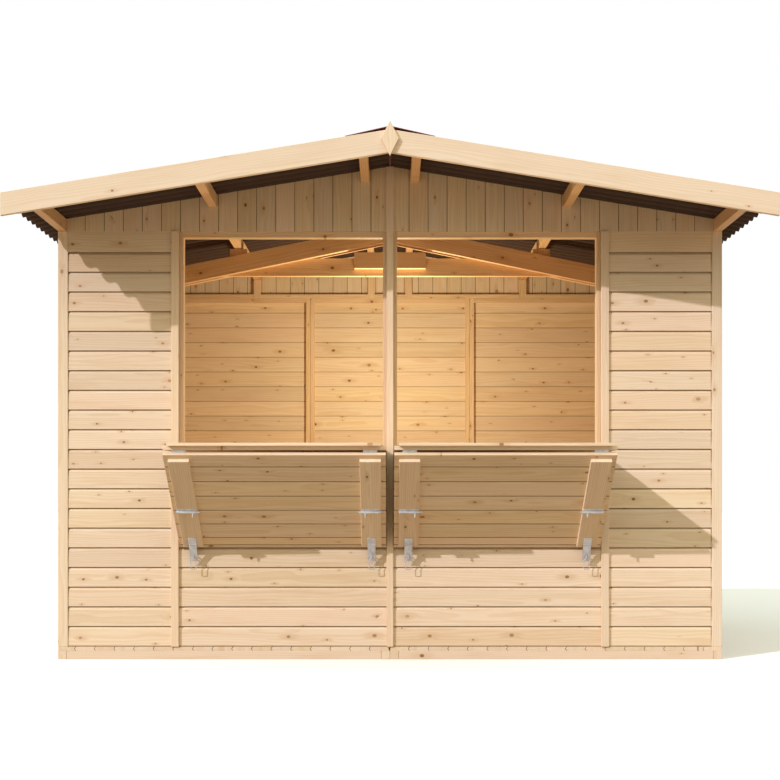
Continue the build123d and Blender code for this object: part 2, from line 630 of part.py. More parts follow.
STAPLE_Y, STAPLE_Z = on_hasp(STAPLE_PLACE, 0)
SLOT_HALF = STAPLE_ROD_RADIUS + PANEL_GAP
INNER_CORNER = HASP_THICKNESS / math.tan((TILT + LEAN + math.pi / 2) / 2)
with BuildPart() as hasps:
    for middle in BATTEN_MIDDLES:
        hasp_x = (middle - HASP_WIDTH / 2, middle + HASP_WIDTH / 2)
        profile = [
            on_brace(HASP_BEND - HASP_ARM, BATTEN_FACE),
            (BEND_Y, BEND_Z),
            on_hasp(HASP_DROP, 0),
            on_hasp(HASP_DROP, HASP_THICKNESS),
            on_hasp(INNER_CORNER, HASP_THICKNESS),
            on_brace(HASP_BEND - HASP_ARM, BATTEN_FACE + HASP_THICKNESS),
        ]
        side_shape(profile, hasp_x)
        with Locations((middle, STAPLE_Y, STAPLE_Z)):
            Box(2 * SLOT_HALF, HASP_WIDTH, STAPLE_SPREAD + 2 * SLOT_HALF, mode=Mode.SUBTRACT)
save("hasps", hasps)

# Staples on the wall, one leg above the other, standing out through the hasps
BOW_Y = STAPLE_Y - HASP_THICKNESS / math.cos(LEAN) - STAPLE_REACH
with BuildPart() as staples:
    for middle in BATTEN_MIDDLES:
        with BuildLine() as bow:
            Polyline(
                (middle, FRONT_PLANE, STAPLE_Z + STAPLE_SPREAD / 2),
                (middle, BOW_Y, STAPLE_Z + STAPLE_SPREAD / 2),
                (middle, BOW_Y, STAPLE_Z - STAPLE_SPREAD / 2),
                (middle, FRONT_PLANE, STAPLE_Z - STAPLE_SPREAD / 2),
            )
        with BuildSketch(Plane(origin=bow.line @ 0, x_dir=(1, 0, 0), z_dir=(0, -1, 0))):
            Circle(STAPLE_ROD_RADIUS)
        sweep(path=bow.line, transition=Transition.RIGHT)
save("staples", staples)

# Snap hooks: closed loops of rod that hang in the staples, in front of the hasps
HOOK_Y = BOW_Y + STAPLE_ROD_RADIUS + FIT + HOOK_ROD_RADIUS
HOOK_TOP_Z = STAPLE_Z - STAPLE_SPREAD / 2 + STAPLE_ROD_RADIUS + FIT + HOOK_ROD_RADIUS
with BuildPart() as snap_hooks:
    half_width = HOOK_WIDTH / 2 - HOOK_ROD_RADIUS
    hook_drop = HOOK_HEIGHT - 2 * HOOK_ROD_RADIUS
    for middle in BATTEN_MIDDLES:
        corners = [
            (half_width, -HOOK_SHOULDER),
            (half_width, -hook_drop),
            (-half_width, -hook_drop),
            (-half_width, -HOOK_SHOULDER),
            (-HOOK_TOP_WIDTH / 2, 0),
            (HOOK_TOP_WIDTH / 2, 0),
        ]
        with BuildLine(Plane(origin=(middle, HOOK_Y, HOOK_TOP_Z), x_dir=(1, 0, 0), z_dir=(0, -1, 0))) as loop:
            FilletPolyline(*corners, radius=HOOK_BEND, close=True)
        with BuildSketch(Plane(origin=loop.line @ 0, z_dir=loop.line % 0)):
            Circle(HOOK_ROD_RADIUS)
        sweep(path=loop.line)
save("snap_hooks", snap_hooks)

print(f"roof {2 * ROOF_REACH} x {ROOF_LENGTH + 2 * BARGE_THICKNESS:.0f}, top {FINIAL_TOP:.0f}, waves {WAVES}")
print(f"counter reaches {FRONT_PLANE - COUNTER_FRONT:.0f} in front of the wall")
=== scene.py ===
# %% [markdown]
# # A wooden market stall in Blender
# The stall is a pine shed, three metres wide, that opens at two serving hatches.
# The CAD model already fixes every size and place. This lesson dresses it: plain slabs become
# lapped and tongued boards, squared timbers get eased edges, and each surface gets its finish.

# %% Load the frame
import math
import random

import bmesh
import bpy
from mathutils import Matrix, Vector


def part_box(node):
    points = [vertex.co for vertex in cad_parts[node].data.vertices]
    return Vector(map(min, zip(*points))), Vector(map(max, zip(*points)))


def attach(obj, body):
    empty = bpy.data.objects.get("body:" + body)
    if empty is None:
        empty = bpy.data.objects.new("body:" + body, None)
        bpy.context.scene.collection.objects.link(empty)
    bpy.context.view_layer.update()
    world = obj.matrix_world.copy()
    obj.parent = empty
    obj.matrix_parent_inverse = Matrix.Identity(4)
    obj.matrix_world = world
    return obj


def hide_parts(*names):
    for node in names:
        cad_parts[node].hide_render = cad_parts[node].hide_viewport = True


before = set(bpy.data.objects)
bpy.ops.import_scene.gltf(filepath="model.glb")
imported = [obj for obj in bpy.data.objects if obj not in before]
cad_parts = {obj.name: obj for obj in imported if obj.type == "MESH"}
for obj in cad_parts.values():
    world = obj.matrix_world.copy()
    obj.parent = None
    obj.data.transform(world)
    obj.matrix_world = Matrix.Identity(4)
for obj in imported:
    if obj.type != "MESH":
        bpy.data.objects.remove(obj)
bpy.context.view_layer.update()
chance = random.Random(41)

# %% [markdown]
# ## Places
# Every piece takes its place from the CAD nodes it dresses, so the planes of the walls, the
# floor and the roof are read once from the nodes' boxes and kept under plain names.

# %% Planes and levels
MM = 0.001
SIDES = {"left": -1, "right": 1}
deck_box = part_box("floor_deck_right")
panel_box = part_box("front_panel_right")
back_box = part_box("back_cladding")
side_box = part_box("side_cladding_right")
FLOOR_TOP = deck_box[1].z
WALL_TOP = panel_box[1].z
FRONT_PLANE, FRONT_STUD = panel_box[0].y, panel_box[1].y
BACK_STUD, BACK_PLANE = back_box[0].y, back_box[1].y
SIDE_STUD, SIDE_PLANE = side_box[0].x, side_box[1].x
MIDDLE_Y = (deck_box[0].y + deck_box[1].y) / 2
PANEL_JOINT_X = panel_box[0].x
THICKNESS = FRONT_STUD - FRONT_PLANE
HALF_GAP = 0.5 * MM
print("walls from", round(FRONT_PLANE, 4), "to", round(BACK_PLANE, 4), "and up to", round(WALL_TOP, 3))

# %% [markdown]
# ## Camera
# The stall is seen straight on from chest height. A level camera keeps every upright
# plumb, and a small upward shift of the lens, not a tilt, brings the gable into the frame.

# %% Camera
CAMERA_DISTANCE = 5.85
CAMERA_HEIGHT = 0.723
camera_data = bpy.data.cameras.new("camera")
camera_data.sensor_width = 36.0
camera_data.lens = 59.735
camera_data.shift_y = 0.1400
camera = bpy.data.objects.new("camera", camera_data)
camera.location = (0.0, FRONT_PLANE - CAMERA_DISTANCE, CAMERA_HEIGHT)
camera.rotation_euler = (math.radians(90.0), 0.0, 0.0)
bpy.context.scene.collection.objects.link(camera)
bpy.context.scene.camera = camera
print("camera at", [round(v, 3) for v in camera.location])

# %% [markdown]
# ## Building shader graphs
# Shader nodes are wired by hand in the editor. In a script, a small class keeps that readable:
# each of its methods adds one node, feeds it, and hands on the result.

# %% Shader helpers
class Graph:
    """A node tree, with one short method for each kind of node that the finishes need."""

    def __init__(self, tree):
        self.tree = tree

    def feed(self, socket, value):
        """Links an output to the socket, or sets a plain value on it."""
        if isinstance(value, bpy.types.NodeSocket):
            self.tree.links.new(value, socket)
        else:
            socket.default_value = value

    def node(self, kind, inputs=None, **settings):
        """Adds a shader node with its settings and feeds its named or numbered inputs."""
        node = self.tree.nodes.new("ShaderNode" + kind)
        for name, value in settings.items():
            setattr(node, name, value)
        for name, value in (inputs or {}).items():
            self.feed(node.inputs[name], value)
        return node

    def calc(self, operation, *values):
        return self.node("Math", dict(enumerate(values)), operation=operation).outputs[0]

    def plus(self, a, b):
        return self.calc("ADD", a, b)

    def minus(self, a, b):
        return self.calc("SUBTRACT", a, b)

    def times(self, a, b):
        return self.calc("MULTIPLY", a, b)

    def distance(self, x, y):
        return self.calc("SQRT", self.plus(self.times(x, x), self.times(y, y)))

    def split(self, vector):
        return self.node("SeparateXYZ", {0: vector}).outputs

    def stretched(self, parts, factors):
        """A vector of three values, each times its own factor."""
        scaled = [self.times(part, factor) for part, factor in zip(parts, factors)]
        return self.node("CombineXYZ", dict(enumerate(scaled))).outputs[0]

    def noise(self, place, scale, detail, **more):
        inputs = {"Vector": place, "Scale": scale, "Detail": detail, **more}
        return self.node("TexNoise", inputs).outputs[0]

    def grey(self, level):
        return self.node("CombineColor", {0: level, 1: level, 2: level}).outputs[0]

    def ramp(self, value, low, high, to_low=0.0, to_high=1.0):
        """Smoothly turns a value between low and high into one between to_low and to_high."""
        inputs = {"Value": value, "From Min": low, "From Max": high}
        inputs.update({"To Min": to_low, "To Max": to_high})
        return self.node("MapRange", inputs, interpolation_type="SMOOTHSTEP").outputs[0]

    def mix(self, factor, first, second, blend="MIX"):
        """Mixes two colours."""
        settings = {"data_type": "RGBA", "blend_type": blend, "clamp_factor": True}
        return self.node("Mix", {0: factor, 6: first, 7: second}, **settings).outputs[2]

    def tint(self, colour, by):
        return self.mix(1.0, colour, by, "MULTIPLY")


def start_group(name, inputs, outputs):
    """Starts a shader node group with named sockets. Returns its graph and its two end nodes."""
    group = bpy.data.node_groups.new(name, "ShaderNodeTree")
    for title, (kind, value) in inputs.items():
        socket = group.interface.new_socket(title, in_out="INPUT", socket_type="NodeSocket" + kind)
        if value is not None:
            socket.default_value = value
    for title, kind in outputs.items():
        group.interface.new_socket(title, in_out="OUTPUT", socket_type="NodeSocket" + kind)
    given, result = group.nodes.new("NodeGroupInput"), group.nodes.new("NodeGroupOutput")
    return Graph(group), given.outputs, result.inputs


def new_material(name):
    """A node material, with its graph and its Principled shader."""
    material = bpy.data.materials.new(name)
    material.use_nodes = True
    return material, Graph(material.node_tree), material.node_tree.nodes["Principled BSDF"]


def dress(graph, shader, colour, effect, bump, strength, specular):
    """Feeds the shader a colour, and the roughness and the height that an effect puts out."""
    raised = graph.node("Bump", {"Height": effect["Height"], "Distance": bump, "Strength": strength})
    graph.feed(shader.inputs["Base Color"], colour)
    graph.feed(shader.inputs["Roughness"], effect["Rough"])
    graph.feed(shader.inputs["Normal"], raised.outputs[0])
    shader.inputs["Specular IOR Level"].default_value = specular


print("shader helpers ready")

# %% [markdown]
# ## Pine
# Planed pine shows pale early wood with thin darker late wood, in lines that run along the
# board, and small knots that the grain flows round. The figure is a cut through a log, so the
# group measures how far each point lies from the log's heart, a little behind the face. Each board
# carries its own place along, across and through it, and three chances that move the heart, so
# no two boards match.

# %% Pine node group
KNOT_CELLS_ALONG = 6.0
KNOT_CELLS_ACROSS = 15.0
KNOT_STRETCH = 1.35
RING_WIDTH = 8.5 * MM
# Painted shade: the colour that joints, laps and slots are darkened by
PAINTED_SHADE_COLOUR = (0.24, 0.155, 0.08, 1.0)
ROSY = (1.01, 0.972, 0.975, 1.0)
GOLDEN = (0.99, 0.978, 0.90, 1.0)


def make_pine_group():
    """Colour, height and roughness of pine, from a place in the board and the board's chances."""
    g, given, result = start_group(
        "pine figure",
        {
            "Place": ("Vector", None),
            "Chance": ("Vector", None),
            "Early": ("Color", (0.86, 0.64, 0.44, 1.0)),
            "Late": ("Color", (0.70, 0.46, 0.26, 1.0)),
            "Knot": ("Color", (0.21, 0.10, 0.05, 1.0)),
            "Heart": ("Color", (0.42, 0.20, 0.09, 1.0)),
            "Painted shade": ("Float", 0.0),
            "Figure": ("Float", 0.5),
            "Variety": ("Float", 0.06),
            "Knots": ("Float", 0.5),
        },
        {"Color": "Color", "Height": "Float", "Rough": "Float"},
    )
    figure, late_colour = given["Figure"], given["Late"]
    luck = g.split(given["Chance"])
    place_along, across, through = g.split(given["Place"])
    along = g.plus(place_along, g.times(luck[0], 40.0))
    slow = g.stretched((along, across, luck[1]), (1.3, 6.0, 30.0))
    waver = g.times(g.minus(g.noise(slow, 1.0, 2.0), 0.5), 0.05)

    # Knots: one chance in each cell of a stretched grid, measured in true distance
    cell_place = g.stretched((along, across, luck[2]), (KNOT_CELLS_ALONG, KNOT_CELLS_ACROSS, 50.0))
    inputs = {"Vector": cell_place, "Scale": 1.0}
    cells = g.node("TexVoronoi", inputs, voronoi_dimensions="3D").outputs
    centre, here = g.split(cells["Position"]), g.split(cell_place)
    off_x = g.calc("DIVIDE", g.minus(here[0], centre[0]), KNOT_CELLS_ALONG * KNOT_STRETCH)
    off_y = g.calc("DIVIDE", g.minus(here[1], centre[1]), KNOT_CELLS_ACROSS)
    knot_luck = g.node("SeparateColor", {0: cells["Color"]}).outputs
    present = g.calc("LESS_THAN", knot_luck[0], given["Knots"])
    radius = g.calc("MULTIPLY_ADD", g.calc("POWER", knot_luck[1], 3.0), 0.0062, 0.0024)
    core_share = g.calc("DIVIDE", g.distance(off_x, off_y), radius)
    core = g.times(g.ramp(core_share, 1.2, 0.7), present)
    halo_share = g.calc("DIVIDE", g.distance(g.times(off_x, 0.45), off_y), radius)
    halo = g.times(g.ramp(halo_share, 3.4, 0.6), present)

    # Rings round the heart, pushed aside by the knots
    heart_across = g.times(g.minus(luck[1], 0.5), 0.16)
    heart_depth = g.plus(g.times(luck[2], 0.07), 0.018)
    from_heart = g.plus(g.minus(across, heart_across), waver)
    reach = g.distance(from_heart, g.minus(heart_depth, through))
    reach = g.plus(reach, g.times(halo, 0.006))
    uneven = g.times(g.noise(slow, 2.3, 1.0), 2.5)
    rings = g.calc("FRACT", g.plus(g.calc("DIVIDE", reach, RING_WIDTH), uneven))
    late = g.times(g.ramp(rings, 0.25, 0.90), g.ramp(rings, 1.0, 0.90))

    # Streaks, fibres and smudges that run along the board
    streaks = g.noise(g.stretched((along, from_heart, through), (1.1, 60.0, 60.0)), 1.0, 3.0)
    fibres = g.noise(g.stretched((along, across, through), (14.0, 900.0, 900.0)), 1.0, 2.0)
    smudge_place = g.stretched((along, across, luck[0]), (3.0, 22.0, 60.0))
    smudges = g.noise(smudge_place, 1.0, 3.0, Roughness=0.6)
    wood = g.mix(g.times(late, figure), given["Early"], late_colour)
    wood = g.mix(g.times(g.ramp(streaks, 0.48, 0.80), figure), wood, late_colour)
    wood = g.mix(g.times(g.ramp(smudges, 0.46, 0.74), g.times(figure, 0.9)), wood, late_colour)

    # Each board's own hue and level
    wood = g.mix(g.ramp(luck[1], 0.45, 1.0), wood, g.tint(wood, ROSY))
    wood = g.mix(g.ramp(luck[2], 0.45, 1.0), wood, g.tint(wood, GOLDEN))
    spread = g.times(g.minus(luck[0], 0.5), given["Variety"])
    grainy = g.times(g.minus(fibres, 0.5), 0.10)
    wood = g.tint(wood, g.grey(g.plus(g.plus(1.0, spread), grainy)))

    # Knots, and the painted shade of joints, laps and slots, lie over the rest
    wood = g.mix(g.times(halo, 0.60), wood, late_colour)
    knot_hue = g.mix(g.ramp(knot_luck[2], 0.2, 0.9), given["Knot"], given["Heart"])
    strength = g.ramp(cells["Distance"], 0.9, 0.0, 0.55, 0.9)
    wood = g.mix(g.times(core, strength), wood, knot_hue)
    wood = g.mix(given["Painted shade"], wood, g.tint(wood, PAINTED_SHADE_COLOUR))
    g.feed(result["Color"], wood)
    g.feed(result["Height"], g.plus(g.times(fibres, 0.35), g.times(late, 0.4)))
    g.feed(result["Rough"], g.plus(0.52, g.times(fibres, 0.16)))
    return g.tree


PINE = make_pine_group()
print("pine group with", len(PINE.nodes), "nodes")

# %% [markdown]
# The finishes differ only in the values they give that group. Boards out in the light are planed
# and pale, framing is a little plainer and yellower, and cover strips are picked clear of knots.
# The hatch pine is a paler copy, with painted light that lifts the shaded braces, and the roof's
# timbers are a redder, darker copy, with the warm shade of the roof space painted in.

# %% Pine materials
def make_pine(name, early, late, figure, variety, knots):
    """A pine finish that reads each board's place, chances and painted joint shade from the mesh."""
    material, graph, shader = new_material(name)
    values = {"Early": (*early, 1.0), "Late": (*late, 1.0)}
    values.update({"Figure": figure, "Variety": variety, "Knots": knots})
    for title, attribute, output in (
        ("Place", "grain_place", "Vector"),
        ("Chance", "board_chance", "Vector"),
        ("Painted shade", "painted_joint_shade", "Fac"),
    ):
        values[title] = graph.node("Attribute", attribute_name=attribute).outputs[output]
    wood = graph.node("Group", values, node_tree=PINE).outputs
    dress(graph, shader, wood["Color"], wood, bump=0.4 * MM, strength=0.6, specular=0.12)
    return material


# Early wood, late wood, figure, variety and knots
PINE_VALUES = {
    "pine_cladding": ((0.85, 0.675, 0.485), (0.70, 0.475, 0.27), 0.34, 0.13, 0.42),
    "pine_framing": ((0.83, 0.61, 0.39), (0.67, 0.42, 0.21), 0.45, 0.10, 0.34),
    # Painted shade: the roof timbers' copy is redder and darker, for the warm shade they stand in
    "pine_roof_timber_painted_shade": ((0.84, 0.56, 0.325), (0.68, 0.385, 0.175), 0.45, 0.10, 0.34),
    "pine_trim": ((0.86, 0.69, 0.505), (0.73, 0.51, 0.31), 0.32, 0.07, 0.16),
    # Painted light: the hatches' copy is paler, to lift the braces' shaded faces
    "pine_hatch": ((0.885, 0.705, 0.505), (0.72, 0.495, 0.275), 0.38, 0.12, 0.44),
    "deck_boards": ((0.86, 0.675, 0.485), (0.70, 0.48, 0.27), 0.42, 0.08, 0.30),
    "floor_bearers": ((0.85, 0.68, 0.50), (0.72, 0.50, 0.31), 0.35, 0.06, 0.20),
}
FINISHES = {name: make_pine(name, *values) for name, values in PINE_VALUES.items()}
print("pine finishes:", ", ".join(FINISHES))

# %% [markdown]
# ## Boards
# Each board is modelled alone, in its own small bmesh, and then added to a pile that becomes one
# piece. As it joins the pile, every vertex is told its place in the board, measured from the
# board's middle along, across and through it, and the whole board gets its three chances.

# %% Grain directions
ALONG_X = Matrix(((1, 0, 0), (0, 0, 1), (0, -1, 0)))      # along X, across Z, through Y
ALONG_X_FLAT = Matrix(((1, 0, 0), (0, 1, 0), (0, 0, 1)))  # along X, across Y, through Z
ALONG_Y = Matrix(((0, 1, 0), (1, 0, 0), (0, 0, 1)))       # along Y, across X, through Z
ALONG_Y_UPRIGHT = Matrix(((0, 1, 0), (0, 0, 1), (1, 0, 0)))  # along Y, across Z, through X
ALONG_Z = Matrix(((0, 0, 1), (1, 0, 0), (0, -1, 0)))      # along Z, across X, through Y
ALONG_Z_SIDE = Matrix(((0, 0, 1), (0, 1, 0), (1, 0, 0)))  # along Z, across Y, through X
WALL_GRAIN = {"y": ALONG_X, "x": ALONG_Y_UPRIGHT}         # by the way that a wall faces
UPRIGHT_GRAIN = {"y": ALONG_Z, "x": ALONG_Z_SIDE}

# %% [markdown]
# The stall has hundreds of boards, too many to handle as objects of their own. Values kept on the
# vertices let one object hold a whole wall while its boards still differ in grain and tone.

# %% Piles and pieces
def all_shaded(place):
    """Painted shade, full all over, for a piece that lies inside a joint."""
    return 1.0


def add_to_pile(pile, board, grain, painted_joint_shade=None):
    """Marks the board's grain and chances on its vertices and adds it to the pile.

    The last argument says how dark each place in a joint, lap or slot is painted: painted shade, where
    little light reaches.
    """
    place = board.verts.layers.float_vector.new("grain_place")
    luck = board.verts.layers.float_vector.new("board_chance")
    shade = board.verts.layers.float.new("painted_joint_shade")
    low = Vector(min(v.co[i] for v in board.verts) for i in range(3))
    high = Vector(max(v.co[i] for v in board.verts) for i in range(3))
    middle = (low + high) / 2
    draw = Vector((chance.random(), chance.random(), chance.random()))
    for vertex in board.verts:
        vertex[place] = grain @ (vertex.co - middle)
        vertex[luck] = draw
        vertex[shade] = painted_joint_shade(vertex.co) if painted_joint_shade else 0.0
    bmesh.ops.recalc_face_normals(board, faces=board.faces)
    carrier = bpy.data.meshes.new("carrier")
    board.to_mesh(carrier)
    board.free()
    pile.from_mesh(carrier)
    bpy.data.meshes.remove(carrier)


def finish_piece(name, pile, material, nodes=()):
    """Turns a pile into one named piece that rides on the stall and stands for CAD nodes."""
    mesh = bpy.data.meshes.new(name)
    pile.to_mesh(mesh)
    pile.free()
    piece = bpy.data.objects.new(name, mesh)
    bpy.context.scene.collection.objects.link(piece)
    mesh.materials.append(FINISHES[material])
    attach(piece, "root")
    if nodes:
        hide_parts(*nodes)
    print(name, len(mesh.polygons), "faces")
    return piece


# %% [markdown]
# Most timbers are either squared, between two places on each axis, or drawn as a section and
# pulled along. Both get their edges eased, because a planed edge is never a knife edge.

# %% Timbers
TIMBER_EASE = 1.5 * MM


def ease_edges(board, edges, ease, segments=1):
    """Bevels some edges of a board."""
    bmesh.ops.bevel(
        board, geom=edges, offset=ease, offset_type="OFFSET", segments=segments,
        profile=0.5, affect="EDGES", clamp_overlap=True, material=-1,
    )


def squared(low, high, ease=TIMBER_EASE):
    """A squared length of timber between two corners, with its edges eased."""
    board = bmesh.new()
    bmesh.ops.create_cube(board, size=1.0)
    bmesh.ops.scale(board, vec=Vector(high) - Vector(low), verts=board.verts)
    bmesh.ops.translate(board, vec=(Vector(low) + Vector(high)) / 2, verts=board.verts)
    ease_edges(board, board.edges[:], ease)
    return board


def add_timber(pile, on_x, on_y, on_z, grain, ease=TIMBER_EASE):
    """Adds a squared timber between two places on each axis, given in either order."""
    low, high = zip(*(sorted(span) for span in (on_x, on_y, on_z)))
    add_to_pile(pile, squared(low, high, ease), grain)


def extruded(points, travel, ease=0.0):
    """A board with a drawn section: its outline is filled and pulled along."""
    board = bmesh.new()
    face = board.faces.new([board.verts.new(point) for point in points])
    pulled = bmesh.ops.extrude_face_region(board, geom=[face])
    moved = [part for part in pulled["geom"] if isinstance(part, bmesh.types.BMVert)]
    bmesh.ops.translate(board, vec=travel, verts=moved)
    bmesh.ops.recalc_face_normals(board, faces=board.faces)
    if ease:
        ease_edges(board, board.edges[:], ease)
    return board


def add_lengthwise(pile, outline, on_y, grain, ease=0.0, painted_joint_shade=None):
    """Adds a board with an outline of places on X and Z, pulled from front to back."""
    start, end = on_y
    board = extruded([(x, start, z) for x, z in outline], (0, end - start, 0), ease)
    add_to_pile(pile, board, grain, painted_joint_shade)


print("board helpers ready")

# %% [markdown]
# ## Shiplap walls
# The walls are clad in shiplap. Each board hangs over the one below, whose top is scooped back and
# runs on as a tongue behind it, so a shadow lies under every course. A texture could draw that line,
# but a drawn section, pulled to length for each course, also shows at the ends and from behind.

# %% Shiplap section
COURSE = 89.0 * MM
FIRST_JOINT = 60.5 * MM
SCOOP_DEPTH = 7.0 * MM
SCOOP_HEIGHT = 14.0 * MM
SCOOP_CURVE = ((0.10, 0.12), (0.38, 0.30), (0.72, 0.48), (0.94, 0.68), (1.0, 0.88))
NOSE = 5.4 * MM
LAP = 10.0 * MM
INNER_LEDGE = 1.5 * MM
INNER_SLOT = 4.0 * MM
BOARD_EASE = 1.0 * MM


def shiplap_section(bottom, top, thickness, laps_below, laps_above):
    """Outline of one board: pairs of how far in from the face, and height."""
    if laps_above:
        start, tip = top - SCOOP_HEIGHT, top + LAP
        ledge = SCOOP_DEPTH + INNER_LEDGE
        outline = [(0.0, start)]
        outline += [(inward * SCOOP_DEPTH, start + up * SCOOP_HEIGHT) for inward, up in SCOOP_CURVE]
        outline += [(SCOOP_DEPTH, tip), (ledge, tip)]
        outline += [(ledge, tip - INNER_SLOT), (thickness, tip - INNER_SLOT)]
    else:
        outline = [(0.0, top), (thickness, top)]
    if laps_below:
        outline += [(thickness, bottom + LAP), (NOSE, bottom + LAP), (NOSE, bottom + BOARD_EASE)]
        outline += [(NOSE - BOARD_EASE, bottom)]
    else:
        outline += [(thickness, bottom)]
    rounded = [(0.25 * BOARD_EASE, bottom + 0.3 * BOARD_EASE), (0.0, bottom + BOARD_EASE)]
    return outline + [(BOARD_EASE, bottom)] + rounded


def course_spans(bottom, top):
    """Bottom and top of every course between two levels."""
    joints = [max(bottom, FIRST_JOINT)]
    joint = FIRST_JOINT + COURSE
    while joint < top - LAP - 2 * MM:
        joints.append(joint)
        joint += COURSE
    joints.append(top)
    return list(zip(joints, joints[1:]))


# %% [markdown]
# Light hardly reaches into a lap, so the hidden faces get painted shade: fully inside the lap, and
# partly in the scoop that shows, under the nose's real shadow. Both ends of each scoop get painted
# shade too, for the shadow of the trim or strip beside it. Colour on vertices spreads along an edge,
# and an extra loop of edges near each end of a board keeps the shade of its end there.

# %% Courses on a wall
NOTCH = 7.0 * MM
# Painted shade levels: in the scoop, at a scoop's ends for the trim's shadow, and the share of the
# scoop that is shaded
OUTER_SHADE = 0.56
END_SHADE = 0.9
SHADED_SCOOP = 0.40


def wall_board(section, facing, start, end, face, sign):
    """A board on a wall, from pairs of depth and height, pulled from start to end."""
    placed = [(face + sign * depth, z) for depth, z in section]
    if facing == "y":
        return extruded([(start, y, z) for y, z in placed], (end - start, 0, 0))
    return extruded([(x, start, z) for x, z in placed], (0, end - start, 0))


def notch_ends(board, axis, start, end):
    """Adds a loop of edges near each end, so that the painted shade at the scoop's end stays there."""
    normal = Vector((0, 0, 0))
    normal[axis] = 1.0
    for at in (start + NOTCH, end - NOTCH):
        geometry = board.verts[:] + board.edges[:] + board.faces[:]
        cut = {"plane_co": normal * at, "plane_no": normal}
        bmesh.ops.bisect_plane(board, geom=geometry, dist=1e-6, **cut)


def clad(pile, start, end, face, inward, levels, facing):
    """Lays shiplap from start to end. facing is "y" for a front or back wall and "x" for a side."""
    thickness = abs(inward)
    wall = (facing, start, end, face, math.copysign(1, inward))
    along, across = (0, 1) if facing == "y" else (1, 0)
    # The starter strip behind the first nose gets painted shade all over
    if levels[0] < FIRST_JOINT:
        foot, tip = levels[0], FIRST_JOINT + LAP
        starter = [(SCOOP_DEPTH, foot), (SCOOP_DEPTH, tip), (thickness, tip), (thickness, foot)]
        add_to_pile(pile, wall_board(starter, *wall), WALL_GRAIN[facing], all_shaded)
    for bottom, top in course_spans(*levels):
        laps_below, laps_above = bottom > levels[0], top < levels[1]

        # Painted shade: full inside a lap, partial in the scoop under the nose, and at each scoop's
        # ends
        def painted_joint_shade(place):
            depth = abs(place[across] - face)
            within = depth < thickness - MM
            at_end = min(place[along] - start, end - place[along]) < NOTCH / 2
            if at_end and place.z > top - SCOOP_HEIGHT - MM and within and laps_above:
                return END_SHADE
            if place.z < bottom + LAP + MM and laps_below:
                return 1.0 if within and depth > NOSE - 2 * MM else 0.0
            in_scoop = place.z > top - SHADED_SCOOP * SCOOP_HEIGHT and laps_above
            return OUTER_SHADE if in_scoop and within else 0.0

        board = wall_board(shiplap_section(bottom, top, thickness, laps_below, laps_above), *wall)
        notch_ends(board, along, start, end)
        add_to_pile(pile, board, WALL_GRAIN[facing], painted_joint_shade)


# %% [markdown]
# Real stalls arrive as flat panels, so the back is clad in three runs and each side in two. A hair's
# gap is left where two panels meet, because a bare line there is what tells the panels apart.

# %% Walls
BACK_JOINT_X = 481 * MM
BACK_INNER = BACK_JOINT_X - HALF_GAP
BACK_OUTER = BACK_JOINT_X + HALF_GAP
for side_name, side in SIDES.items():
    for node in (f"front_panel_{side_name}", f"front_apron_{side_name}"):
        low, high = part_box(node)
        pile = bmesh.new()
        clad(pile, low.x, high.x, FRONT_PLANE, THICKNESS, (low.z, high.z), "y")
        finish_piece(f"{node}_boards", pile, "pine_cladding", [node])
    low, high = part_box(f"side_cladding_{side_name}")
    pile = bmesh.new()
    for start, end in ((low.y, MIDDLE_Y - HALF_GAP), (MIDDLE_Y + HALF_GAP, high.y)):
        clad(pile, start, end, side * SIDE_PLANE, -side * THICKNESS, (low.z, high.z), "x")
    finish_piece(f"side_{side_name}_boards", pile, "pine_cladding", [f"side_cladding_{side_name}"])

pile = bmesh.new()
low, high = back_box
for start, end in ((low.x, -BACK_OUTER), (-BACK_INNER, BACK_INNER), (BACK_OUTER, high.x)):
    clad(pile, start, end, BACK_PLANE, -THICKNESS, (low.z, high.z), "y")
finish_piece("back_boards", pile, "pine_cladding", ["back_cladding"])

# %% [markdown]
# ## Gables and deck
# The gables are close boards that run up to the roof, notched round the purlins. The notches are
# already in the CAD slab, so a copy of it is cut into boards with bisect_plane and the holes are
# filled. A narrow slot is left between boards, and a thin tongue closes it halfway in, so no light
# gets through; the tongue has painted shade all over, so the joint is dark.

# %% Cut a slab into boards
def merged_copy(node):
    """A bmesh copy of a CAD node with its loose triangles joined."""
    source = bmesh.new()
    source.from_mesh(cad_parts[node].data)
    bmesh.ops.remove_doubles(source, verts=source.verts[:], dist=1e-6)
    bmesh.ops.dissolve_limit(source, angle_limit=0.01, verts=source.verts[:], edges=source.edges[:])
    return source


def cut_board(source, axis, low, high):
    """A copy of a slab, kept between two places along an axis, or None where nothing is left."""
    board = source.copy()
    normal = Vector((0, 0, 0))
    normal[axis] = 1.0
    for at, direction in ((low, -normal), (high, normal)):
        geometry = board.verts[:] + board.edges[:] + board.faces[:]
        cut = bmesh.ops.bisect_plane(
            board, geom=geometry, dist=1e-6,
            plane_co=normal * at, plane_no=direction, clear_outer=True,
        )
        rim = [part for part in cut["geom_cut"] if isinstance(part, bmesh.types.BMEdge)]
        if rim:
            bmesh.ops.holes_fill(board, edges=rim)
    if not board.verts:
        board.free()
        return None
    bmesh.ops.dissolve_limit(board, angle_limit=0.01, verts=board.verts[:], edges=board.edges[:])
    return board


# %% [markdown]
# A gable is a triangle of upright boards. The thin slab behind is cut from the same shape a second
# time, and only its strips inside the slots are kept, as the tongues that close them, with painted
# shade all over.

